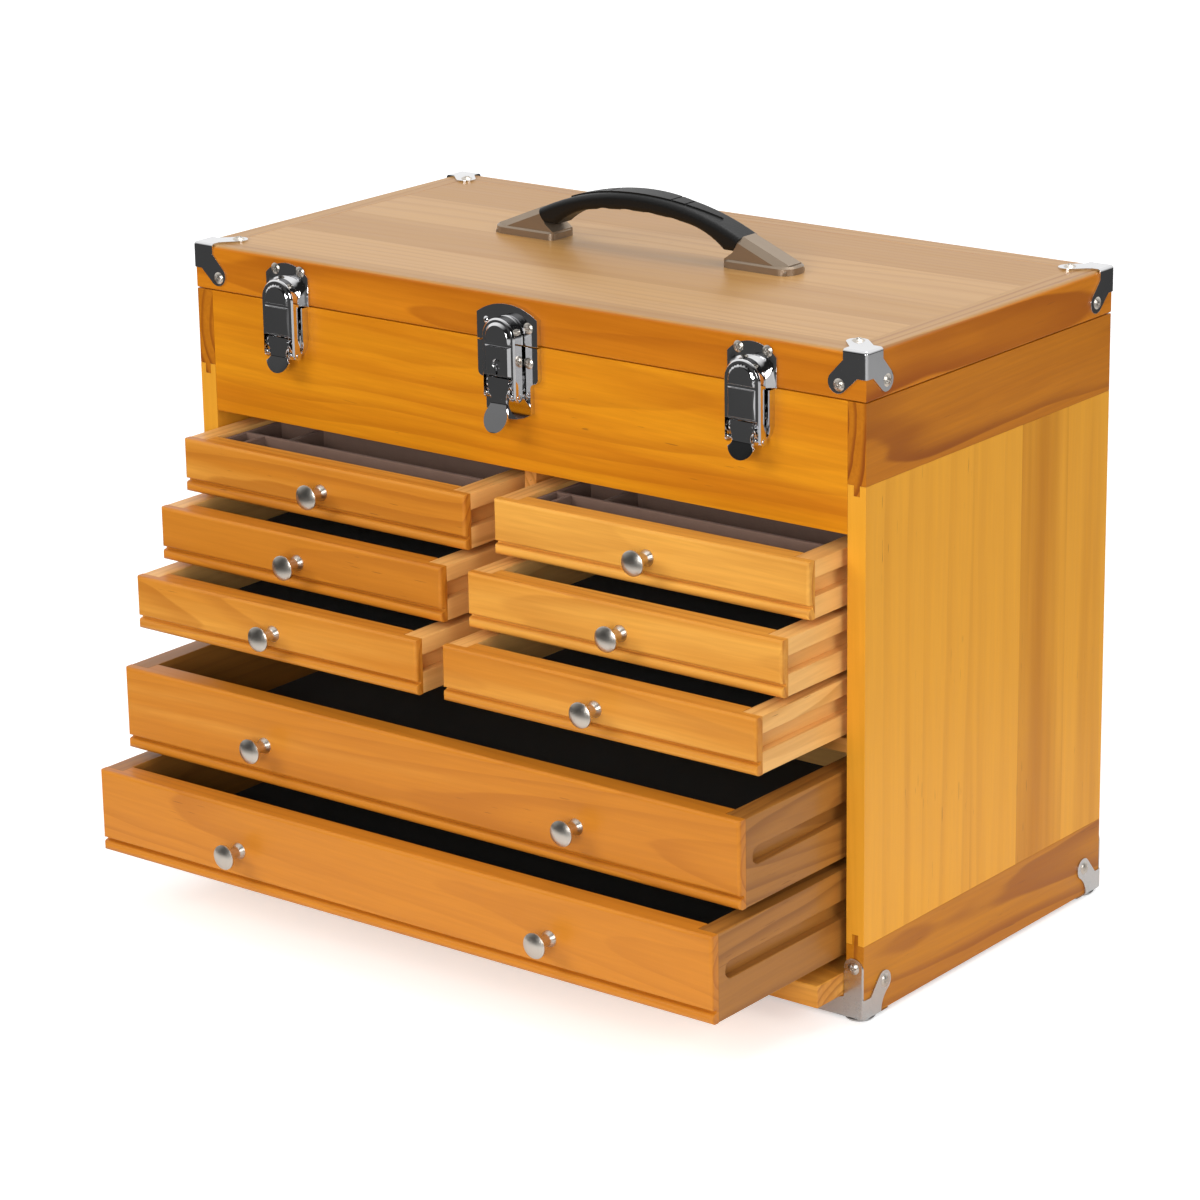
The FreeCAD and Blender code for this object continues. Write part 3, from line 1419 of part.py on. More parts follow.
def grip():
    """A bowed grip with a level heel at each end, finger hollows and a raised pad on top."""
    upper, lower = end_corners()
    top = float(size.grip_top)
    half = float(size.grip_width) / 2
    heel = Vector(float(size.grip_heel_x), 0, lower.z)
    palm = Vector(float(size.grip_palm_x), 0, float(size.grip_palm_z))
    middle = Vector(0, 0, float(size.grip_under))
    bend = (heel + palm) / 2 + Vector(float(size.grip_haunch), 0, float(size.grip_haunch))
    left = [Vector(-p.x, 0, p.z) for p in (upper, lower, heel, bend, palm)]
    edges = [
        Part.Arc(left[0], Vector(0, 0, top), upper).toShape(),
        Part.makeLine(upper, lower),
        Part.makeLine(lower, heel),
        Part.Arc(heel, bend, palm).toShape(),
        Part.Arc(palm, middle, left[4]).toShape(),
        Part.Arc(left[4], left[3], left[2]).toShape(),
        Part.makeLine(left[2], left[1]),
        Part.makeLine(left[1], left[0]),
    ]
    profile = Part.Face(Part.Wire(edges))
    profile.translate(Vector(0, -half, 0))
    shape = profile.extrude(Vector(0, 2 * half, 0))

    def long_edge(edge):
        limits = edge.BoundBox
        return limits.YLength < TINY and limits.XLength > upper.x - lower.x + TINY

    shape = softened(shape, float(size.grip_round), long_edge)
    hollow = float(size.finger_radius)
    drop = hollow - float(size.finger_depth)
    fall = middle.z - palm.z
    for step in (-1.5, -0.5, 0.5, 1.5):
        x = step * float(size.finger_pitch)
        surface = middle.z - fall * (x / palm.x) ** 2
        start = Vector(x, -2 * half, surface - drop)
        shape = shape.cut(Part.makeCylinder(hollow, 4 * half, start, Vector(0, 1, 0)))
    return shape.fuse(thumb_pad(upper, top)).removeSplitter()


def thumb_pad(upper, top):
    """The pad on the grip: a pointed oval, bowed with it, with grooves across."""
    long_half = float(size.thumb_pad_half)
    wide_half = float(size.thumb_pad_half_width)
    rise = float(size.thumb_pad_rise)
    sag = top - upper.z
    bow = (upper.x ** 2 + sag ** 2) / (2 * sag)
    centre = Vector(0, 0, top - bow)
    side = Vector(0, 1, 0)
    oval = [(-long_half, 0, 0, -wide_half), (long_half, 0, 0, wide_half)]
    plan = flat_outline(oval, lambda a, b: Vector(a, b, 0)).extrude(Vector(0, 0, top + 2 * rise))
    start = centre - side * wide_half
    outer = Part.makeCylinder(bow + rise, 2 * wide_half, start, side)
    inner = Part.makeCylinder(bow - rise, 2 * wide_half, start, side)
    pad = plan.common(outer.cut(inner))
    depth = float(size.pad_rib_depth)
    width = float(size.pad_rib_width)
    first = float(size.pad_rib_first)
    second = float(size.pad_rib_second)
    for reach in (-second, -first, first, second):
        corner = Vector(-width / 2, -wide_half, top + rise - depth)
        groove = Part.makeBox(width, 2 * wide_half, 2 * depth, corner)
        groove.rotate(centre, side, math.degrees(reach / bow))
        pad = pad.cut(groove)
    return pad


def handle_foot():
    """The right foot: a flange on the lid and a bevelled wedge, cut square to the grip's end."""
    upper, lower = end_corners()
    along = (upper - lower).normalize()
    proud = float(size.bracket_thickness) / 2
    inner = float(size.handle_foot_inner)
    outer = float(size.handle_foot_outer)
    flange = float(size.handle_foot_flange)
    half = float(size.handle_foot_width) / 2
    small = float(size.handle_foot_inner_round)
    large = float(size.handle_foot_outer_round)
    turn = 1 - math.sqrt(0.5)
    outline = [
        (inner + small, -half, inner + small * turn, small * turn - half), (outer - large, -half),
        (outer, large - half, outer - large * turn, large * turn - half), (outer, half - large),
        (outer - large, half, outer - large * turn, half - large * turn), (inner + small, half),
        (inner, half - small, inner + small * turn, half - small * turn), (inner, small - half),
    ]
    base = flat_outline(outline, lambda a, b: Vector(a, b, 0)).extrude(Vector(0, 0, flange))
    rim = [edge for edge in base.Edges if edge.BoundBox.ZMin > flange - TINY]
    base = base.makeChamfer(float(size.handle_foot_bevel), rim)
    bevel = float(size.wedge_bevel)
    wedge_half = float(size.wedge_width) / 2
    toe = outer - float(size.wedge_toe)
    profile = [
        Vector(inner + proud, 0, 0), Vector(inner + proud, 0, flange), lower - along * proud,
        upper + along * proud, Vector(toe, 0, flange + proud), Vector(toe, 0, 0),
    ]
    face = Part.Face(Part.makePolygon(profile + profile[:1]))
    face.translate(Vector(0, -wedge_half, 0))
    wedge = face.extrude(Vector(0, 2 * wedge_half, 0))

    def sloping(edge):
        limits = edge.BoundBox
        return limits.YLength < TINY and limits.XMin > upper.x and limits.XLength > TINY

    wedge = wedge.makeChamfer(bevel, [edge for edge in wedge.Edges if sloping(edge)])
    return base.fuse(wedge).removeSplitter()


def handle():
    x = -size.handle_left_offset
    y = size.handle_back_offset
    node(solid_piece("handle_grip", grip(), x, y, lid_top), "handle_grip")
    right = handle_foot()
    left = right.mirror(Vector(), Vector(1, 0, 0))
    pieces = [
        solid_piece("handle_foot_right", right, x, y, lid_top),
        solid_piece("handle_foot_left", left, x, y, lid_top),
    ]
    group("handle_feet", pieces)


# ---------------------------------------------------------------- assembly

carcass()
drawer_set()
cover_board()
lid()
hinges()
latch_rows = latches()
four_corners("lid_brackets", "lid_bracket", lid_bracket())
four_corners("foot_brackets", "foot_bracket", foot_bracket())
fasteners(latch_rows)
handle()
doc.recompute()

failed = [p.Name for p in doc.Objects if "Invalid" in p.State or "Error" in p.State]
if failed:
    raise RuntimeError("failed to compute: " + ", ".join(failed))
for piece in nodes:
    if piece.Shape.isNull() or not piece.Shape.isValid() or not piece.Shape.Solids:
        raise RuntimeError("%s has no valid solid" % piece.Label)

os.makedirs("parts", exist_ok=True)
for piece in nodes:
    piece.Shape.exportStep(os.path.join("parts", piece.Label + ".step"))
print("%d sub-parts, %d solids" % (len(nodes), sum(len(n.Shape.Solids) for n in nodes)))
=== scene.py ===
import json
import math
import random
from collections import Counter

import bmesh
import bpy
from mathutils import Matrix, Vector


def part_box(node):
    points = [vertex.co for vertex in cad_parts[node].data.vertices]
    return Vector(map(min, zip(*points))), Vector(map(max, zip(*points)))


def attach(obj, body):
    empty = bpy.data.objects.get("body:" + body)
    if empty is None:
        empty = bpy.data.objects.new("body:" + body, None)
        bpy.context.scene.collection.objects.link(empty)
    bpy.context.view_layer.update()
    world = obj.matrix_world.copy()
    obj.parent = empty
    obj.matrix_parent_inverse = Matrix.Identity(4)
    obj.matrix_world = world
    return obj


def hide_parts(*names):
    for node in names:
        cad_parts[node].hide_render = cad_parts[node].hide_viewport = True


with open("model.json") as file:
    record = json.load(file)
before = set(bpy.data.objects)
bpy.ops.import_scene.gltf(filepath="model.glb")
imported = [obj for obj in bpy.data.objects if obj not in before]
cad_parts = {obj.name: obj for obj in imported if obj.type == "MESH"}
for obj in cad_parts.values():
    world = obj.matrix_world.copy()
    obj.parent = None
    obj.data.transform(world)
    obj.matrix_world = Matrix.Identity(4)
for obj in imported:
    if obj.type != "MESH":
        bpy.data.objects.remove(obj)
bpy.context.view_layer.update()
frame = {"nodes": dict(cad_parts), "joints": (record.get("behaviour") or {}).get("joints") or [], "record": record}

MM = 0.001
AXIS_Z = 2
BLACK = (0, 0, 0)
WHITE = (1, 1, 1)

bodies = frame["record"]["behaviour"]["bodies"]
body_of = {node: body for body, members in bodies.items() for node in members}
joints = {joint["name"]: joint for joint in frame["joints"]}


# ------------------------------------------------------------- shader nodes

MIX_FACTOR = 0
MIX_FIRST = 6
MIX_SECOND = 7
MIX_RESULT = 2


class Wire:
    """A shader socket that joins in Python arithmetic."""

    def __init__(self, nodes, socket):
        self.nodes = nodes
        self.socket = socket

    def math(self, operation, *inputs):
        return self.nodes.node("ShaderNodeMath", {"operation": operation}, inputs)

    def __add__(self, other):
        return self.math("ADD", self, other)

    def __sub__(self, other):
        return self.math("SUBTRACT", self, other)

    def __rsub__(self, other):
        return self.math("SUBTRACT", other, self)

    def __mul__(self, other):
        return self.math("MULTIPLY", self, other)

    def __truediv__(self, other):
        return self.math("DIVIDE", self, other)

    def __pow__(self, other):
        return self.math("POWER", self, other)

    def __abs__(self):
        return self.math("ABSOLUTE", self)

    __radd__ = __add__
    __rmul__ = __mul__

    def most(self, other):
        return self.math("MAXIMUM", self, other)

    def whole(self):
        return self.math("FLOOR", self)

    def fraction(self):
        return self.math("FRACT", self)


def rgba(tone):
    """A colour for a socket: three numbers get full alpha, and a wire stays as it is."""
    return tone if isinstance(tone, Wire) else (*tone, 1)


def shaded(tone, share):
    """A colour at a share of its strength."""
    return tuple(share * part for part in tone)


class Nodes:
    """The nodes of a material or of the world."""

    def __init__(self, tree):
        self.tree = tree

    def feed(self, socket, value):
        if isinstance(value, Wire):
            self.tree.links.new(value.socket, socket)
        else:
            socket.default_value = value

    def node(self, kind, settings, inputs, output=0):
        """Adds a node: its settings first, then the values or links of its sockets."""
        made = self.tree.nodes.new(kind)
        for name, value in settings.items():
            setattr(made, name, value)
        pairs = inputs.items() if isinstance(inputs, dict) else enumerate(inputs)
        for key, value in pairs:
            self.feed(made.inputs[key], value)
        return Wire(self, made.outputs[output])

    def ray(self, kind):
        """1 for one kind of ray, such as Camera, and 0 for the others."""
        return self.node("ShaderNodeLightPath", {}, {}, "Is %s Ray" % kind)

    def place(self):
        """The point on the object, in metres."""
        return self.node("ShaderNodeTexCoord", {}, {}, "Object")

    def facing(self):
        """The surface's outward direction on the object at rest."""
        return self.node("ShaderNodeTexCoord", {}, {}, "Normal")

    def attribute(self, name, output="Vector"):
        return self.node("ShaderNodeAttribute", {"attribute_name": name}, {}, output)

    def dot(self, first, second):
        return self.node("ShaderNodeVectorMath", {"operation": "DOT_PRODUCT"}, (first, second), "Value")

    def vector(self, x, y, z):
        return self.node("ShaderNodeCombineXYZ", {}, (x, y, z))

    def split(self, vector):
        outputs = self.node("ShaderNodeSeparateXYZ", {}, (vector,)).socket.node.outputs
        return [Wire(self, output) for output in outputs]

    def noise(self, vector, scale=1.0, detail=2.0, roughness=0.5):
        inputs = {"Vector": vector, "Scale": scale, "Detail": detail, "Roughness": roughness}
        return self.node("ShaderNodeTexNoise", {}, inputs)

    def ramp(self, value, low, high, start=0.0, end=1.0):
        """A smooth step from start to end as the value goes from low to high."""
        inputs = {"Value": value, "From Min": low, "From Max": high, "To Min": start, "To Max": end}
        return self.node("ShaderNodeMapRange", {"interpolation_type": "SMOOTHSTEP"}, inputs)

    def blend(self, factor, first, second):
        """A mix of two colours."""
        inputs = {MIX_FACTOR: factor, MIX_FIRST: rgba(first), MIX_SECOND: rgba(second)}
        return self.node("ShaderNodeMix", {"data_type": "RGBA"}, inputs, MIX_RESULT)


class Finish(Nodes):
    """A material and the nodes that make it."""

    def __init__(self, name, constants):
        self.material = bpy.data.materials.new(name)
        self.material.use_nodes = True
        super().__init__(self.material.node_tree)
        self.shader = self.tree.nodes["Principled BSDF"]
        for socket, value in constants.items():
            self.surface(socket, value)

    def surface(self, socket, value):
        self.feed(self.shader.inputs[socket], value)

    def bump(self, height, strength, distance):
        inputs = {"Height": height, "Strength": strength, "Distance": distance}
        self.surface("Normal", self.node("ShaderNodeBump", {}, inputs))


# ------------------------------------------------------------- pine

VARNISH = {"Coat Weight": 0.12, "Coat Roughness": 0.16, "Specular IOR Level": 0.25}
VARNISH_ROUGHNESS = 0.4
VARNISH_UNEVEN = 0.2

# Patterns in the wood, in waves per metre along the trunk and across it.
TRUNK_BENDS = (2.2, 9)
RING_WANDER = (9, 40)
PATCHES = (3, 14)
STREAKS = (1.6, 46)
FIBRES = (14, 420)
FLECKS = (55, 900)

# Yearly rings: how far they are moved, and the part of a year in which the wood darkens and then stops.
TRUNK_BEND = 26 * MM
RING_WAVE = 4 * MM
RING_GROUPS = 60
RING_SPREAD = 6 * MM
DARKENING = (0.45, 0.9)
WINTER = (0.93, 1.0)

# A glued board: how far each strip moves in the tree, and how much its tone jumps.
STRIP_ALONG = 3.0
STRIP_ACROSS = 160 * MM
STRIP_THROUGH = 30 * MM
STRIP_TONE = 1.5

# The span in which most of a noise lies, the cosines at which a face counts as top and takes the painted sheen,
# and those at which it counts as end grain.
USUAL_NOISE = (0.3, 0.75)
PAINTED_SHEEN_COSINES = (0.4, 0.9)
END_GRAIN = (0.75, 0.95)

# How strongly the patterns show. Ticks are the short dark pores.
TONE_WEIGHT = 0.5
FAINTEST_RINGS = 0.25
END_RINGS = 0.35
END_SHADE = 0.2
TICK_FLECKS = (0.72, 0.78)
TICK_PATCHES = (0.5, 0.62)
TICK_STRENGTH = 0.5
TICK_TONE = (0.16, 0.055, 0.012)
RING_HOLLOW = 0.3


def drawn_out(wood, place, waves, detail=2.0, roughness=0.5):
    """Noise that is long in the direction of the trunk."""
    along, across, through = place
    lengthways, crossways = waves
    point = wood.vector(along * lengthways, across * crossways, through * crossways)
    return wood.noise(point, 1.0, detail, roughness)


def cut_in_strips(wood, width, place, tone):
    """Gives each glued strip of a board another place in the tree and another tone."""
    along, across, through = place
    strip = (across / width).whole()
    chance = wood.node("ShaderNodeTexWhiteNoise", {"noise_dimensions": "1D"}, {"W": strip})
    either_way = chance - 0.5
    along = along + chance * STRIP_ALONG
    across = across + either_way * STRIP_ACROSS
    through = through + chance * STRIP_THROUGH
    return (along, across, through), tone + either_way * STRIP_TONE


def late_wood(wood, place, ring):
    """The dark part of the yearly rings, from 0 to 1."""
    _, across, through = place
    bends = drawn_out(wood, place, TRUNK_BENDS)
    wander = drawn_out(wood, place, RING_WANDER)
    radius = (across * across + through * through) ** 0.5
    radius = radius + (bends - 0.5) * TRUNK_BEND + (wander - 0.5) * RING_WAVE
    spread = wood.noise(wood.vector(radius * RING_GROUPS, 0, 0), 1.0, 1.0)
    year = ((radius + spread * RING_SPREAD) / ring).fraction()
    return wood.ramp(year, *DARKENING) * wood.ramp(year, *WINTER, 1.0, 0.0)


def pine(name, tones, ring=5.2 * MM, contrast=0.55, strips=None, painted_sheen_tones=None, fine=0.22):
    """Varnished pine, coloured by each point's place in the tree that its board was cut from.

    The tones are pale wood, its darker streaks and late wood. Faces that look up take the painted sheen tones,
    if given: a painted reflection of the white room in the varnish. A glued board gives the width of its strips.
    """
    wood = Finish(name, VARNISH)
    place = wood.split(wood.attribute("grain"))
    tone = wood.attribute("tone", "Fac")
    facing = wood.facing()
    # Painted reflection: faces that look up are blended towards the paler sheen tones.
    if painted_sheen_tones:
        painted_sheen_share = wood.ramp(wood.split(facing)[AXIS_Z], *PAINTED_SHEEN_COSINES)
        tones = [wood.blend(painted_sheen_share, own, top) for own, top in zip(tones, painted_sheen_tones)]
    light, deep, late = tones
    if strips:
        place, tone = cut_in_strips(wood, strips, place, tone)
    end = wood.ramp(abs(wood.dot(facing, wood.attribute("trunk"))), *END_GRAIN)
    grown = late_wood(wood, place, ring)
    patches = drawn_out(wood, place, PATCHES)
    fibre = drawn_out(wood, place, FIBRES, detail=3.0, roughness=0.6)
    streak = drawn_out(wood, place, STREAKS, detail=3.0)
    fleck = drawn_out(wood, place, FLECKS, detail=1.0)
    base = wood.blend(wood.ramp(streak + tone * TONE_WEIGHT, *USUAL_NOISE), light, deep)
    rings = grown * wood.ramp(patches, *USUAL_NOISE, FAINTEST_RINGS, 1.0) * contrast
    base = wood.blend(rings + end * grown * END_RINGS, base, late)
    base = wood.blend(wood.ramp(fibre, *USUAL_NOISE, fine, 0.0), base, late)
    base = wood.blend(end * END_SHADE, base, late)
    ticks = wood.ramp(fleck, *TICK_FLECKS) * wood.ramp(patches, *TICK_PATCHES, 0.0, TICK_STRENGTH)
    wood.surface("Base Color", wood.blend(ticks, base, TICK_TONE))
    wood.surface("Roughness", VARNISH_ROUGHNESS + (fibre - 0.5) * VARNISH_UNEVEN)
    wood.bump(fibre - grown * RING_HOLLOW, strength=0.12, distance=0.3 * MM)
    return wood.material


FRONT = pine("front_pine", ((0.84, 0.41, 0.07), (0.6, 0.215, 0.018), (0.4, 0.12, 0.01)))
INNER = pine("inner_pine", ((0.9, 0.5, 0.16), (0.72, 0.32, 0.075), (0.5, 0.2, 0.035)))
DARK = pine("dark_side_pine", ((0.4, 0.165, 0.03), (0.27, 0.1, 0.02), (0.18, 0.06, 0.012)))
CASE = pine(
    "case_pine", ((0.76, 0.29, 0.007), (0.56, 0.165, 0.003), (0.4, 0.1, 0.002)),
    ring=8 * MM, contrast=0.45,
)
RAIL = pine(
    "rail_pine", ((0.59, 0.2, 0.007), (0.48, 0.145, 0.004), (0.26, 0.06, 0.003)),
    ring=6.5 * MM, contrast=0.9,
)
SILL = pine(
    "bottom_rail_pine", ((0.58, 0.215, 0.006), (0.42, 0.125, 0.003), (0.28, 0.07, 0.002)),
    ring=8 * MM, contrast=0.7,
)
PANEL = pine(
    "panel_pine", ((0.84, 0.38, 0.03), (0.56, 0.21, 0.008), (0.46, 0.15, 0.006)),
    ring=21 * MM, contrast=0.22, strips=46 * MM, fine=0.1,
)
# The lid panel: its own honey pine, made paler and greyer by a painted reflection of the white room in its
# varnish.
LID_WITH_PAINTED_SHEEN = pine(
    "lid_pine_painted_sheen", ((0.6, 0.345, 0.13), (0.49, 0.26, 0.08), (0.4, 0.17, 0.04)),
    contrast=0.4, strips=52 * MM,
)
# The tops of the lid rails take paler, greyer tones: a painted reflection of the white room in their varnish.
EDGE = pine(
    "lid_edge_pine", ((0.71, 0.24, 0.009), (0.52, 0.155, 0.004), (0.34, 0.08, 0.002)),
    ring=6.5 * MM, contrast=1.0, painted_sheen_tones=((0.55, 0.31, 0.11), (0.46, 0.24, 0.075), (0.36, 0.15, 0.035)),
)


# ------------------------------------------------------------- metal, flock and rubber

PLATE_DULLEST = 0.9
PILE_FINE = 0.6
PILE_BROAD = 0.4
PILE_LUMPS = 0.8
RUBBER_PALEST = 1.7
RUBBER_ROUGHNESS = 0.36
RUBBER_UNEVEN = 0.16


def plated(name, base, roughness, uneven, grit, metallic=1.0):
    """Plated metal with a slightly uneven polish. The grit is in waves per metre."""
    metal = Finish(name, {"Metallic": metallic})
    fine = metal.noise(metal.place(), scale=grit, detail=3.0, roughness=0.6)
    broad = metal.noise(metal.place(), scale=60.0)
    metal.surface("Base Color", metal.blend(broad, base, shaded(base, PLATE_DULLEST)))
    metal.surface("Roughness", roughness + (fine - 0.5) * uneven + (broad - 0.5) * uneven)
    metal.bump(fine, strength=0.03, distance=0.1 * MM)
    return metal.material


def flocked(name, base, fleck, sheen):
    """Short dense fibres: felt or flock."""
    cloth = Finish(name, {"Roughness": 0.95, "Sheen Weight": sheen, "Sheen Roughness": 0.4})
    fine = cloth.noise(cloth.place(), scale=2600.0, detail=2.0, roughness=0.7)
    broad = cloth.noise(cloth.place(), scale=120.0, detail=3.0, roughness=0.6)
    cloth.surface("Base Color", cloth.blend(fine * PILE_FINE + broad * PILE_BROAD, base, fleck))
    cloth.bump(fine + broad * PILE_LUMPS, strength=0.6, distance=0.6 * MM)
    return cloth.material


def moulded(name, base):
    """Black moulded rubber with a fine matt grain."""
    rubber = Finish(name, {"Specular IOR Level": 0.3})
    grain = rubber.noise(rubber.place(), scale=1000.0, detail=2.0, roughness=0.6)
    rubber.surface("Base Color", rubber.blend(grain, base, shaded(base, RUBBER_PALEST)))
    rubber.surface("Roughness", RUBBER_ROUGHNESS + grain * RUBBER_UNEVEN)
    rubber.bump(grain, strength=0.3, distance=0.3 * MM)
    return rubber.material


CHROME = plated("chrome_plate", (0.82, 0.82, 0.83), roughness=0.05, uneven=0.02, grit=900.0)
STEEL = plated("satin_steel", (0.62, 0.61, 0.6), roughness=0.26, uneven=0.1, grit=1500.0)
NICKEL = plated("satin_nickel", (0.66, 0.61, 0.54), roughness=0.3, uneven=0.06, grit=1200.0)
CHAMPAGNE = plated(
    "handle_nickel", (0.34, 0.265, 0.195), roughness=0.38, uneven=0.06, grit=1200.0, metallic=0.75,
)
RUBBER = moulded("black_rubber", (0.004, 0.004, 0.004))
FELT = flocked("black_felt", (0.003, 0.004, 0.002), fleck=(0.014, 0.015, 0.011), sheen=0.04)
FLOCK = flocked("taupe_flock", (0.15, 0.085, 0.06), fleck=(0.25, 0.155, 0.115), sheen=0.05)


# ------------------------------------------------------------- making pieces

# Corners that agree to this many decimals of a metre are one.
WELD_DIGITS = 6
FLAT_ANGLE = 0.003
SHARP_ANGLE = 35
BOARD_EDGE_ANGLE = 30
METAL_EDGE_ANGLE = 40


def welded(faces):
    """One closed solid from loose faces, with flat areas as whole faces."""
    work = bmesh.new()
    corners = {}
    for keys in faces:
        if len(set(keys)) < 3:
            continue
        ring = []
        for key in keys:
            if key not in corners:
                corners[key] = work.verts.new(key)
            ring.append(corners[key])
        if not work.faces.get(ring):
            work.faces.new(ring)
    bmesh.ops.dissolve_limit(work, angle_limit=FLAT_ANGLE, verts=work.verts, edges=work.edges)
    return work


def solids_of(node):
    """Welded copies of a CAD node's separate solids, in the order of the model.

    A solid is complete when each edge of its faces has met the same edge run the other way.
    """
    mesh = frame["nodes"][node].data
    places = [tuple(round(value, WELD_DIGITS) for value in vertex.co) for vertex in mesh.vertices]
    solids = []
    faces = []
    unmet = Counter()
    unmet_in_all = 0
    for polygon in mesh.polygons:
        keys = [places[i] for i in polygon.vertices]
        faces.append(keys)
        for edge in zip(keys, keys[1:] + keys[:1]):
            if edge[0] == edge[1]:
                continue
            if unmet[edge[::-1]]:
                unmet[edge[::-1]] -= 1
                unmet_in_all -= 1
            else:
                unmet[edge] += 1
                unmet_in_all += 1
        if not unmet_in_all:
            solids.append(welded(faces))
            faces = []
    if faces:
        solids.append(welded(faces))
    return solids


def ease(work, edge_width, segments=2, least=BOARD_EDGE_ANGLE):
    """Rounds the outward edges that turn by more than the least angle."""
    edges = [
        edge for edge in work.edges
        if edge.is_manifold and edge.is_convex and edge.calc_face_angle() > math.radians(least)
    ]
    bmesh.ops.bevel(
        work, geom=edges, offset=edge_width, offset_type="OFFSET", segments=segments,
        profile=0.5, affect="EDGES", material=-1, clamp_overlap=True,
    )


def stand(name, data):
    """A new object in the scene, at the origin."""
    made = bpy.data.objects.new(name, data)
    bpy.context.scene.collection.objects.link(made)
    return made


def mesh_of(name, work):
    mesh = bpy.data.meshes.new(name)
    work.to_mesh(mesh)
    work.free()
    return mesh


def piece(name, work, finish, node):
    """Makes a finished object of a mesh and lets it stand for a CAD node on its body."""
    for face in work.faces:
        face.smooth = True
    for edge in work.edges:
        edge.smooth = not (edge.is_manifold and edge.calc_face_angle() > math.radians(SHARP_ANGLE))
    made = stand(name, mesh_of(name, work))
    made.data.materials.append(finish)
    shading = made.modifiers.new("even_shading", "WEIGHTED_NORMAL")
    shading.keep_sharp = True
    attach(made, body_of[node])
    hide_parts(node)
    return made


def metalwork(node, finish, edge):
    """Replaces a metal or rubber node by its pieces with softened edges."""
    for i, work in enumerate(solids_of(node)):
        ease(work, edge, least=METAL_EDGE_ANGLE)
        piece("%s_piece_%d" % (node, i + 1), work, finish, node)


# ------------------------------------------------------------- boards

# Where a board was cut: along the trunk, off the heart's line, out from the heart, and how straight.
TRUNK_LENGTH = 4
OFF_HEART_SHARE = 0.35
NEAREST_HEART = 12 * MM
FURTHEST_HEART = 60 * MM
GRAIN_LEAN = 0.05
GRAIN_DRIFT = 0.04
TONE_SPREAD = 0.35


def lay_grain(work, seed, along, shade):
    """Gives a board its place in a tree: along the trunk, and across and through from the heart."""
    chance = random.Random(seed)
    lows = [min(vert.co[i] for vert in work.verts) for i in range(3)]
    highs = [max(vert.co[i] for vert in work.verts) for i in range(3)]
    spans = [highs[i] - lows[i] for i in range(3)]
    middle = [(lows[i] + highs[i]) / 2 for i in range(3)]
    order = sorted(range(3), key=lambda i: -spans[i])
    if along is not None:
        order.remove(along)
        order.insert(0, along)
    start = chance.uniform(0, TRUNK_LENGTH)
    side = chance.uniform(-OFF_HEART_SHARE, OFF_HEART_SHARE) * spans[order[1]]
    bark_side = chance.choice((-1, 1))
    depth = bark_side * (spans[order[2]] / 2 + chance.uniform(NEAREST_HEART, FURTHEST_HEART))
    lean = chance.uniform(-GRAIN_LEAN, GRAIN_LEAN)
    drift = chance.uniform(-GRAIN_DRIFT, GRAIN_DRIFT)
    if shade is None:
        shade = chance.uniform(-TONE_SPREAD, TONE_SPREAD)
    run = Vector([float(i == order[0]) for i in range(3)])
    grain = work.verts.layers.float_vector.new("grain")
    trunk = work.verts.layers.float_vector.new("trunk")
    tone = work.verts.layers.float.new("tone")
    for vert in work.verts:
        a, b, c = (vert.co[i] - middle[i] for i in order)
        vert[grain] = (a + start, b + side + a * drift, c + depth + a * lean)
        vert[trunk] = run
        vert[tone] = shade


def boards(node, finishes, edge=0.5 * MM, along=None, shade=None):
    """Replaces a wooden node by its boards, with eased edges, grain and the finishes in turn.

    The grain runs the longest way, unless along names another axis. A higher shade is darker, and
    without one each board gets its own.
    """
    for i, work in enumerate(solids_of(node)):
        name = "%s_board_%d" % (node, i + 1)
        ease(work, edge)
        lay_grain(work, name, along, shade)
        piece(name, work, finishes[i % len(finishes)], node)


boards("side_panels", [PANEL], edge=0.2 * MM, along=AXIS_Z)
boards("side_rails", [RAIL, SILL], edge=0.25 * MM, shade=-0.2)
boards("upper_front", [CASE], edge=0.4 * MM)
boards("back_panel", [PANEL], edge=0.4 * MM)
boards("bottom_board", [CASE])
boards("shelves", [INNER])
boards("centre_divider", [INNER])
boards("drawer_runners", [INNER], edge=0.4 * MM)
boards("lid_rails", [EDGE], edge=0.25 * MM)
boards("lid_panel", [LID_WITH_PAINTED_SHEEN], edge=0.2 * MM)
boards("cover_board", [FRONT], edge=0.4 * MM)


# ------------------------------------------------------------- drawers

LINING_EDGE = 0.6 * MM
DRAWER_BOX_SHADE = -0.6
DRAWER_SHADES = {
    "drawer_left_1": 0.3, "drawer_left_2": 0.5, "drawer_left_3": 0.25, "drawer_right_1": -0.9,
    "drawer_right_2": 0.1, "drawer_right_3": 0.3, "drawer_wide_1": 0.6, "drawer_wide_2": 0.9,
}


def lining(drawer):
    """The flocked tray of a top drawer, or the black felt that lies in any other."""
    node = next(node for node in bodies[drawer] if node.endswith(("_tray", "_felt")))
    is_felt = node.endswith("_felt")
    work = solids_of(node)[0]
    ease(work, LINING_EDGE, segments=3)
    made = piece(node + "_cloth", work, FELT if is_felt else FLOCK, node)


for drawer, shade in DRAWER_SHADES.items():
    sides = DARK if "wide" in drawer else INNER
    boards(drawer + "_front", [FRONT], edge=0.35 * MM, shade=shade)
    boards(drawer + "_box", [sides, sides, INNER, INNER], edge=0.6 * MM, shade=DRAWER_BOX_SHADE)
    metalwork(drawer + "_knob", NICKEL, edge=0.3 * MM)
    lining(drawer)


# ------------------------------------------------------------- brackets, latches, hinges and handle

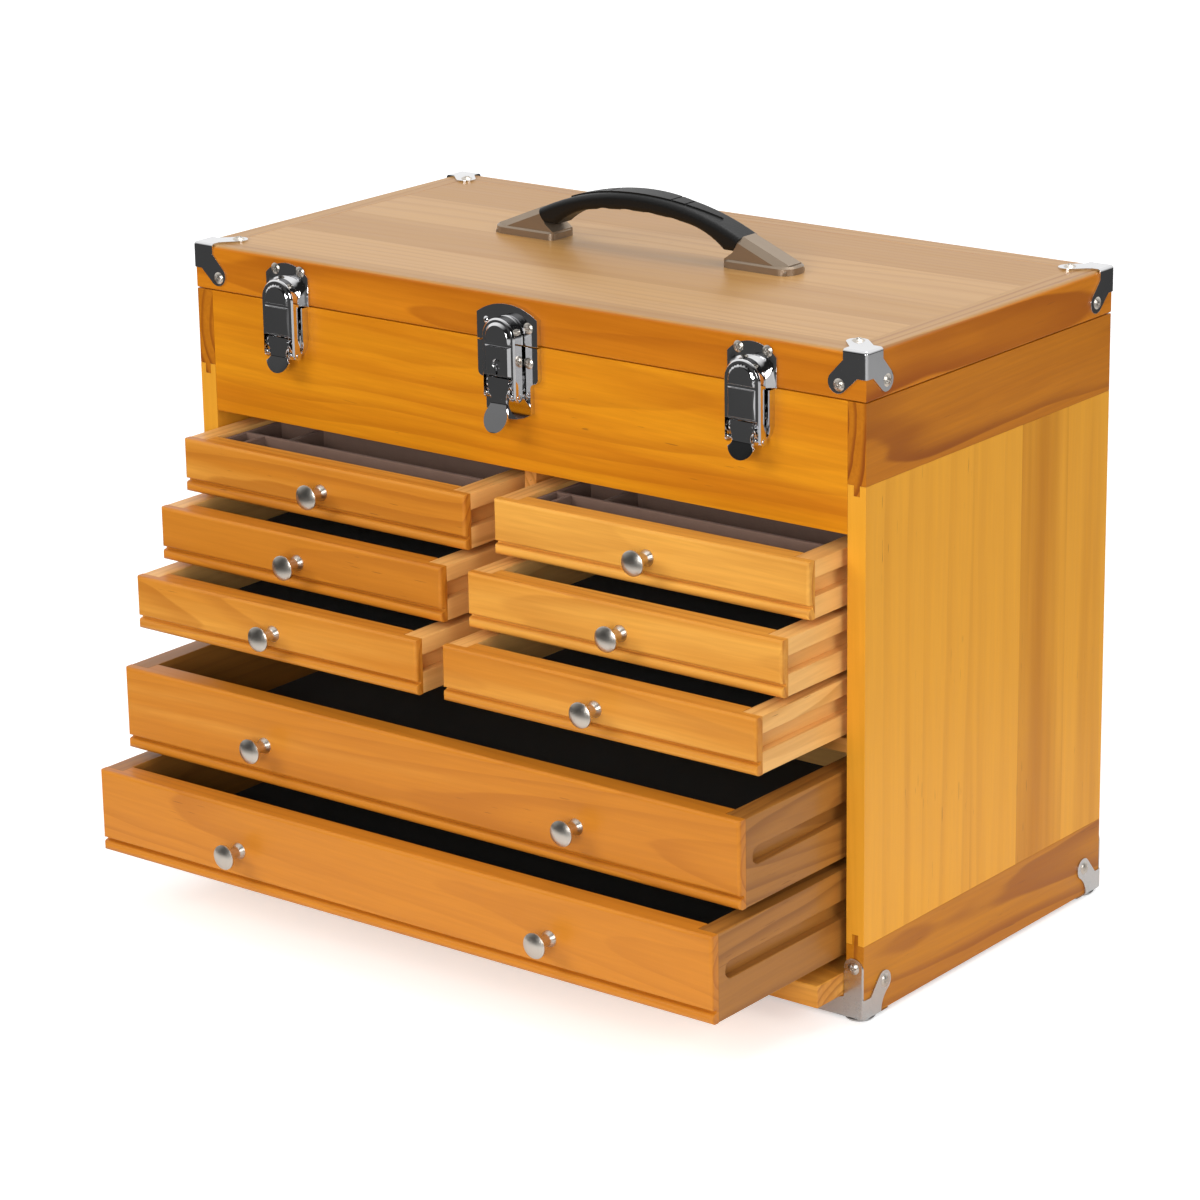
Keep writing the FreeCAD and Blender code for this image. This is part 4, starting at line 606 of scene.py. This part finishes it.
metalwork("lid_brackets", CHROME, edge=0.2 * MM)
metalwork("foot_brackets", STEEL, edge=0.2 * MM)
metalwork("latch_strikes", CHROME, edge=0.25 * MM)
metalwork("latch_bases", CHROME, edge=0.25 * MM)
for hand in ("lever", "claw"):
    for latch in ("left", "middle", "right"):
        metalwork("%s_%s" % (hand, latch), CHROME, edge=0.2 * MM)
metalwork("lock_plug", CHROME, edge=0.1 * MM)
metalwork("hinge_body_leaves", STEEL, edge=0.15 * MM)
metalwork("hinge_lid_leaves", STEEL, edge=0.15 * MM)
metalwork("handle_feet", CHAMPAGNE, edge=0.4 * MM)
metalwork("handle_grip", RUBBER, edge=0.3 * MM)


# ------------------------------------------------------------- screws and rivets

HEAD_RINGS = 6
HEAD_STEPS = 24
MERGE_DISTANCE = 0.001 * MM
WIDEST_RIVET = 2.75 * MM

# The cross recess: half the angle of an arm, and its other sizes as shares of the head's.
CROSS_HALF_ARM = 15
CROSS_HUB = 0.16
CROSS_REACH = 0.56
CROSS_TAPER = 0.8
CROSS_FLOOR = 0.35

HINGE_MIDDLES_MM = (-150, 150)
HINGE_WIDTH = 52 * MM
HINGE_LEAF = 1.2 * MM
HINGE_SCREW_RISE = 10.4 * MM
HINGE_SCREW_RADIUS = 2 * MM
HINGE_SCREW_HEIGHT = 0.7 * MM


def domed_head(radius, height):
    """A low dome with its seat at the origin, turned from a profile."""
    work = bmesh.new()
    ball = (radius * radius + height * height) / (2 * height)
    reach = math.asin(radius / ball)
    profile = [work.verts.new((0, 0, height))]
    for i in range(1, HEAD_RINGS + 1):
        lean = reach * i / HEAD_RINGS
        profile.append(work.verts.new((ball * math.sin(lean), 0, height - ball + ball * math.cos(lean))))
    profile.append(work.verts.new((0, 0, 0)))
    for first, second in zip(profile, profile[1:]):
        work.edges.new((first, second))
    bmesh.ops.spin(
        work, geom=work.verts[:] + work.edges[:], cent=(0, 0, 0), axis=(0, 0, 1),
        angle=2 * math.pi, steps=HEAD_STEPS, use_merge=True,
    )
    bmesh.ops.remove_doubles(work, verts=work.verts, dist=MERGE_DISTANCE)
    bmesh.ops.recalc_face_normals(work, faces=work.faces)
    return work


def sink_cross(work, radius, height):
    """Sinks a cross recess into a domed head."""
    arms = []
    for face in work.faces:
        centre = face.calc_center_median()
        turn = (math.degrees(math.atan2(centre.y, centre.x)) + CROSS_HALF_ARM) % 90
        away = centre.xy.length
        in_hub = away < radius * CROSS_HUB
        in_arm = turn < 2 * CROSS_HALF_ARM and away < radius * CROSS_REACH
        if centre.z > 0 and (in_hub or in_arm):
            arms.append(face)
    sunk = bmesh.ops.extrude_face_region(work, geom=arms)
    for item in sunk["geom"]:
        if isinstance(item, bmesh.types.BMVert):
            item.co = Vector((item.co.x * CROSS_TAPER, item.co.y * CROSS_TAPER, height * CROSS_FLOOR))


def fit_head(name, place, outward, radius, height, finish, node, crossed):
    """A domed head on its seat, with a cross recess if it is a screw."""
    work = domed_head(radius, height)
    if crossed:
        sink_cross(work, radius, height)
    turn = Vector((0, 0, 1)).rotation_difference(outward).to_matrix().to_4x4()
    bmesh.ops.transform(work, matrix=Matrix.Translation(place) @ turn, verts=work.verts)
    piece(name, work, finish, node)


def hinge_screws():
    """Three screws in each leaf of the two hinges, below the pins and over them."""
    pins = joints["lid_hinge"]["pos_m"][AXIS_Z]
    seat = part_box("back_panel")[1].y + HINGE_LEAF
    backwards = Vector((0, 1, 0))
    for middle in HINGE_MIDDLES_MM:
        for i in (-1, 0, 1):
            across = middle * MM + i * HINGE_WIDTH / 3
            for node, way in (("hinge_body_leaves", -1), ("hinge_lid_leaves", 1)):
                name = "%s_screw_%d" % (node, middle + i)
                place = Vector((across, seat, pins + way * HINGE_SCREW_RISE))
                fit_head(name, place, backwards, HINGE_SCREW_RADIUS, HINGE_SCREW_HEIGHT, STEEL, node, True)


def turned_heads(node):
    """Replaces plain CAD heads by turned ones in the same seats."""
    for i, work in enumerate(solids_of(node)):
        seat = max(work.faces, key=lambda face: face.calc_area())
        place = seat.calc_center_median()
        outward = -seat.normal
        radius = max((vert.co - place).length for vert in seat.verts)
        height = max((vert.co - place).dot(outward) for vert in work.verts)
        work.free()
        is_screw = radius > WIDEST_RIVET
        finish = NICKEL if is_screw else CHROME
        fit_head("%s_head_%d" % (node, i + 1), place, outward, radius, height, finish, node, is_screw)


hinge_screws()
turned_heads("lid_screws")
turned_heads("body_screws")


# ------------------------------------------------------------- studio

FLOOR_REACH = 6
FLOOR_PALE = (0.92, 0.92, 0.92)
FLOOR_DARK = (0.02, 0.02, 0.02)

# The chest and its plating are lit by a sheet of pale paper under them, and a card to the right and
# behind, on a dark floor. These are metres from the chest's middle. To the camera all of it is pale.
PAPER_EDGE = (0.4, 0.8)
CARD_RIGHT = (0.55, 0.8)
CARD_BEHIND = (0.2, 0.4)
CARD_END = (1.1, 1.2)
CARD_TONE = 0.42
GLOW_EDGE = (0.8, 3.0)
GLOW_NEAR = 0.45

AMBIENT = 0.4
DARK_ROOM = 0.015
BACK_AND_UP = (-0.45, 0.55, 0.7)
WHITE_WALL = (-0.1, 0.7)
CHEST_MIDDLE = Vector((0, 0, 0.17))


def floor_paper():
    """The floor's finish: white to the camera apart from the chest's shadow."""
    paper = Finish("floor_paper", {"Roughness": 0.9, "Emission Strength": 1.0})
    seen = paper.ray("Camera")
    x, y, _ = paper.split(paper.place())
    away = (x * x + y * y) ** 0.5
    sheet = paper.ramp(away, *PAPER_EDGE, 1.0, 0.0)
    card = paper.ramp(x, *CARD_RIGHT).most(paper.ramp(y, *CARD_BEHIND))
    card = card * paper.ramp(y, *CARD_END, CARD_TONE, 0.0)
    pale = seen.most(sheet.most(card))
    paper.surface("Base Color", paper.blend(pale, FLOOR_DARK, FLOOR_PALE))
    glow = seen * paper.ramp(away, *GLOW_EDGE, GLOW_NEAR, 1.0)
    paper.surface("Emission Color", paper.blend(glow, BLACK, WHITE))
    return paper.material


def floor():
    work = bmesh.new()
    bmesh.ops.create_grid(work, x_segments=1, y_segments=1, size=FLOOR_REACH)
    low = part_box("foot_brackets")[0].z
    bmesh.ops.translate(work, vec=(0, 0, low), verts=work.verts)
    made = stand("studio_floor", mesh_of("studio_floor", work))
    made.data.materials.append(floor_paper())


def softbox(name, place, size, watts, mirrored=True):
    """A lamp that looks at the chest, and shows in its plating if it is mirrored."""
    light = bpy.data.lights.new(name, "AREA")
    light.shape = "RECTANGLE"
    light.size, light.size_y = size
    light.energy = watts
    made = stand(name, light)
    made.visible_glossy = mirrored
    made.location = place
    made.rotation_euler = (CHEST_MIDDLE - Vector(place)).to_track_quat("-Z", "Y").to_euler()


def backdrop():
    """White behind the chest and over it, and a dark room in front of it."""
    world = bpy.data.worlds.new("studio_world")
    bpy.context.scene.world = world
    world.use_nodes = True
    sky = Nodes(world.node_tree)
    background = world.node_tree.nodes["Background"]
    towards = sky.node("ShaderNodeTexCoord", {}, {}, "Generated")
    mirrored = sky.ramp(sky.dot(towards, BACK_AND_UP), *WHITE_WALL, DARK_ROOM, 1.0)
    light = AMBIENT + sky.ray("Glossy") * (mirrored - AMBIENT)
    sky.feed(background.inputs["Color"], rgba(WHITE))
    sky.feed(background.inputs["Strength"], light + sky.ray("Camera") * (1 - light))


floor()
softbox("key_softbox", place=(-1.2, -2.2, 1.7), size=(1.4, 1.1), watts=29, mirrored=False)
softbox("front_softbox", place=(1.0, -2.6, 0.9), size=(1.2, 1.0), watts=36)
softbox("side_softbox", place=(2.4, -0.5, 1.1), size=(1.2, 1.2), watts=18)
softbox("top_softbox", place=(0.2, 0.6, 2.3), size=(1.6, 1.2), watts=17)
backdrop()


# ------------------------------------------------------------- camera

# The camera's turn is in degrees about X, Y and Z.
LENS_MM = 122.65
SENSOR_MM = 36
CAMERA_PLACE = (1.32308, -1.73072, 0.84578)
CAMERA_TURN = (72.5175, 0.8732, 37.8366)


def camera():
    lens = bpy.data.cameras.new("camera")
    lens.sensor_width = SENSOR_MM
    lens.lens = LENS_MM
    made = stand("camera", lens)
    made.location = CAMERA_PLACE
    made.rotation_euler = [math.radians(angle) for angle in CAMERA_TURN]
    bpy.context.scene.camera = made


camera()
bpy.context.scene.view_settings.view_transform = "Standard"
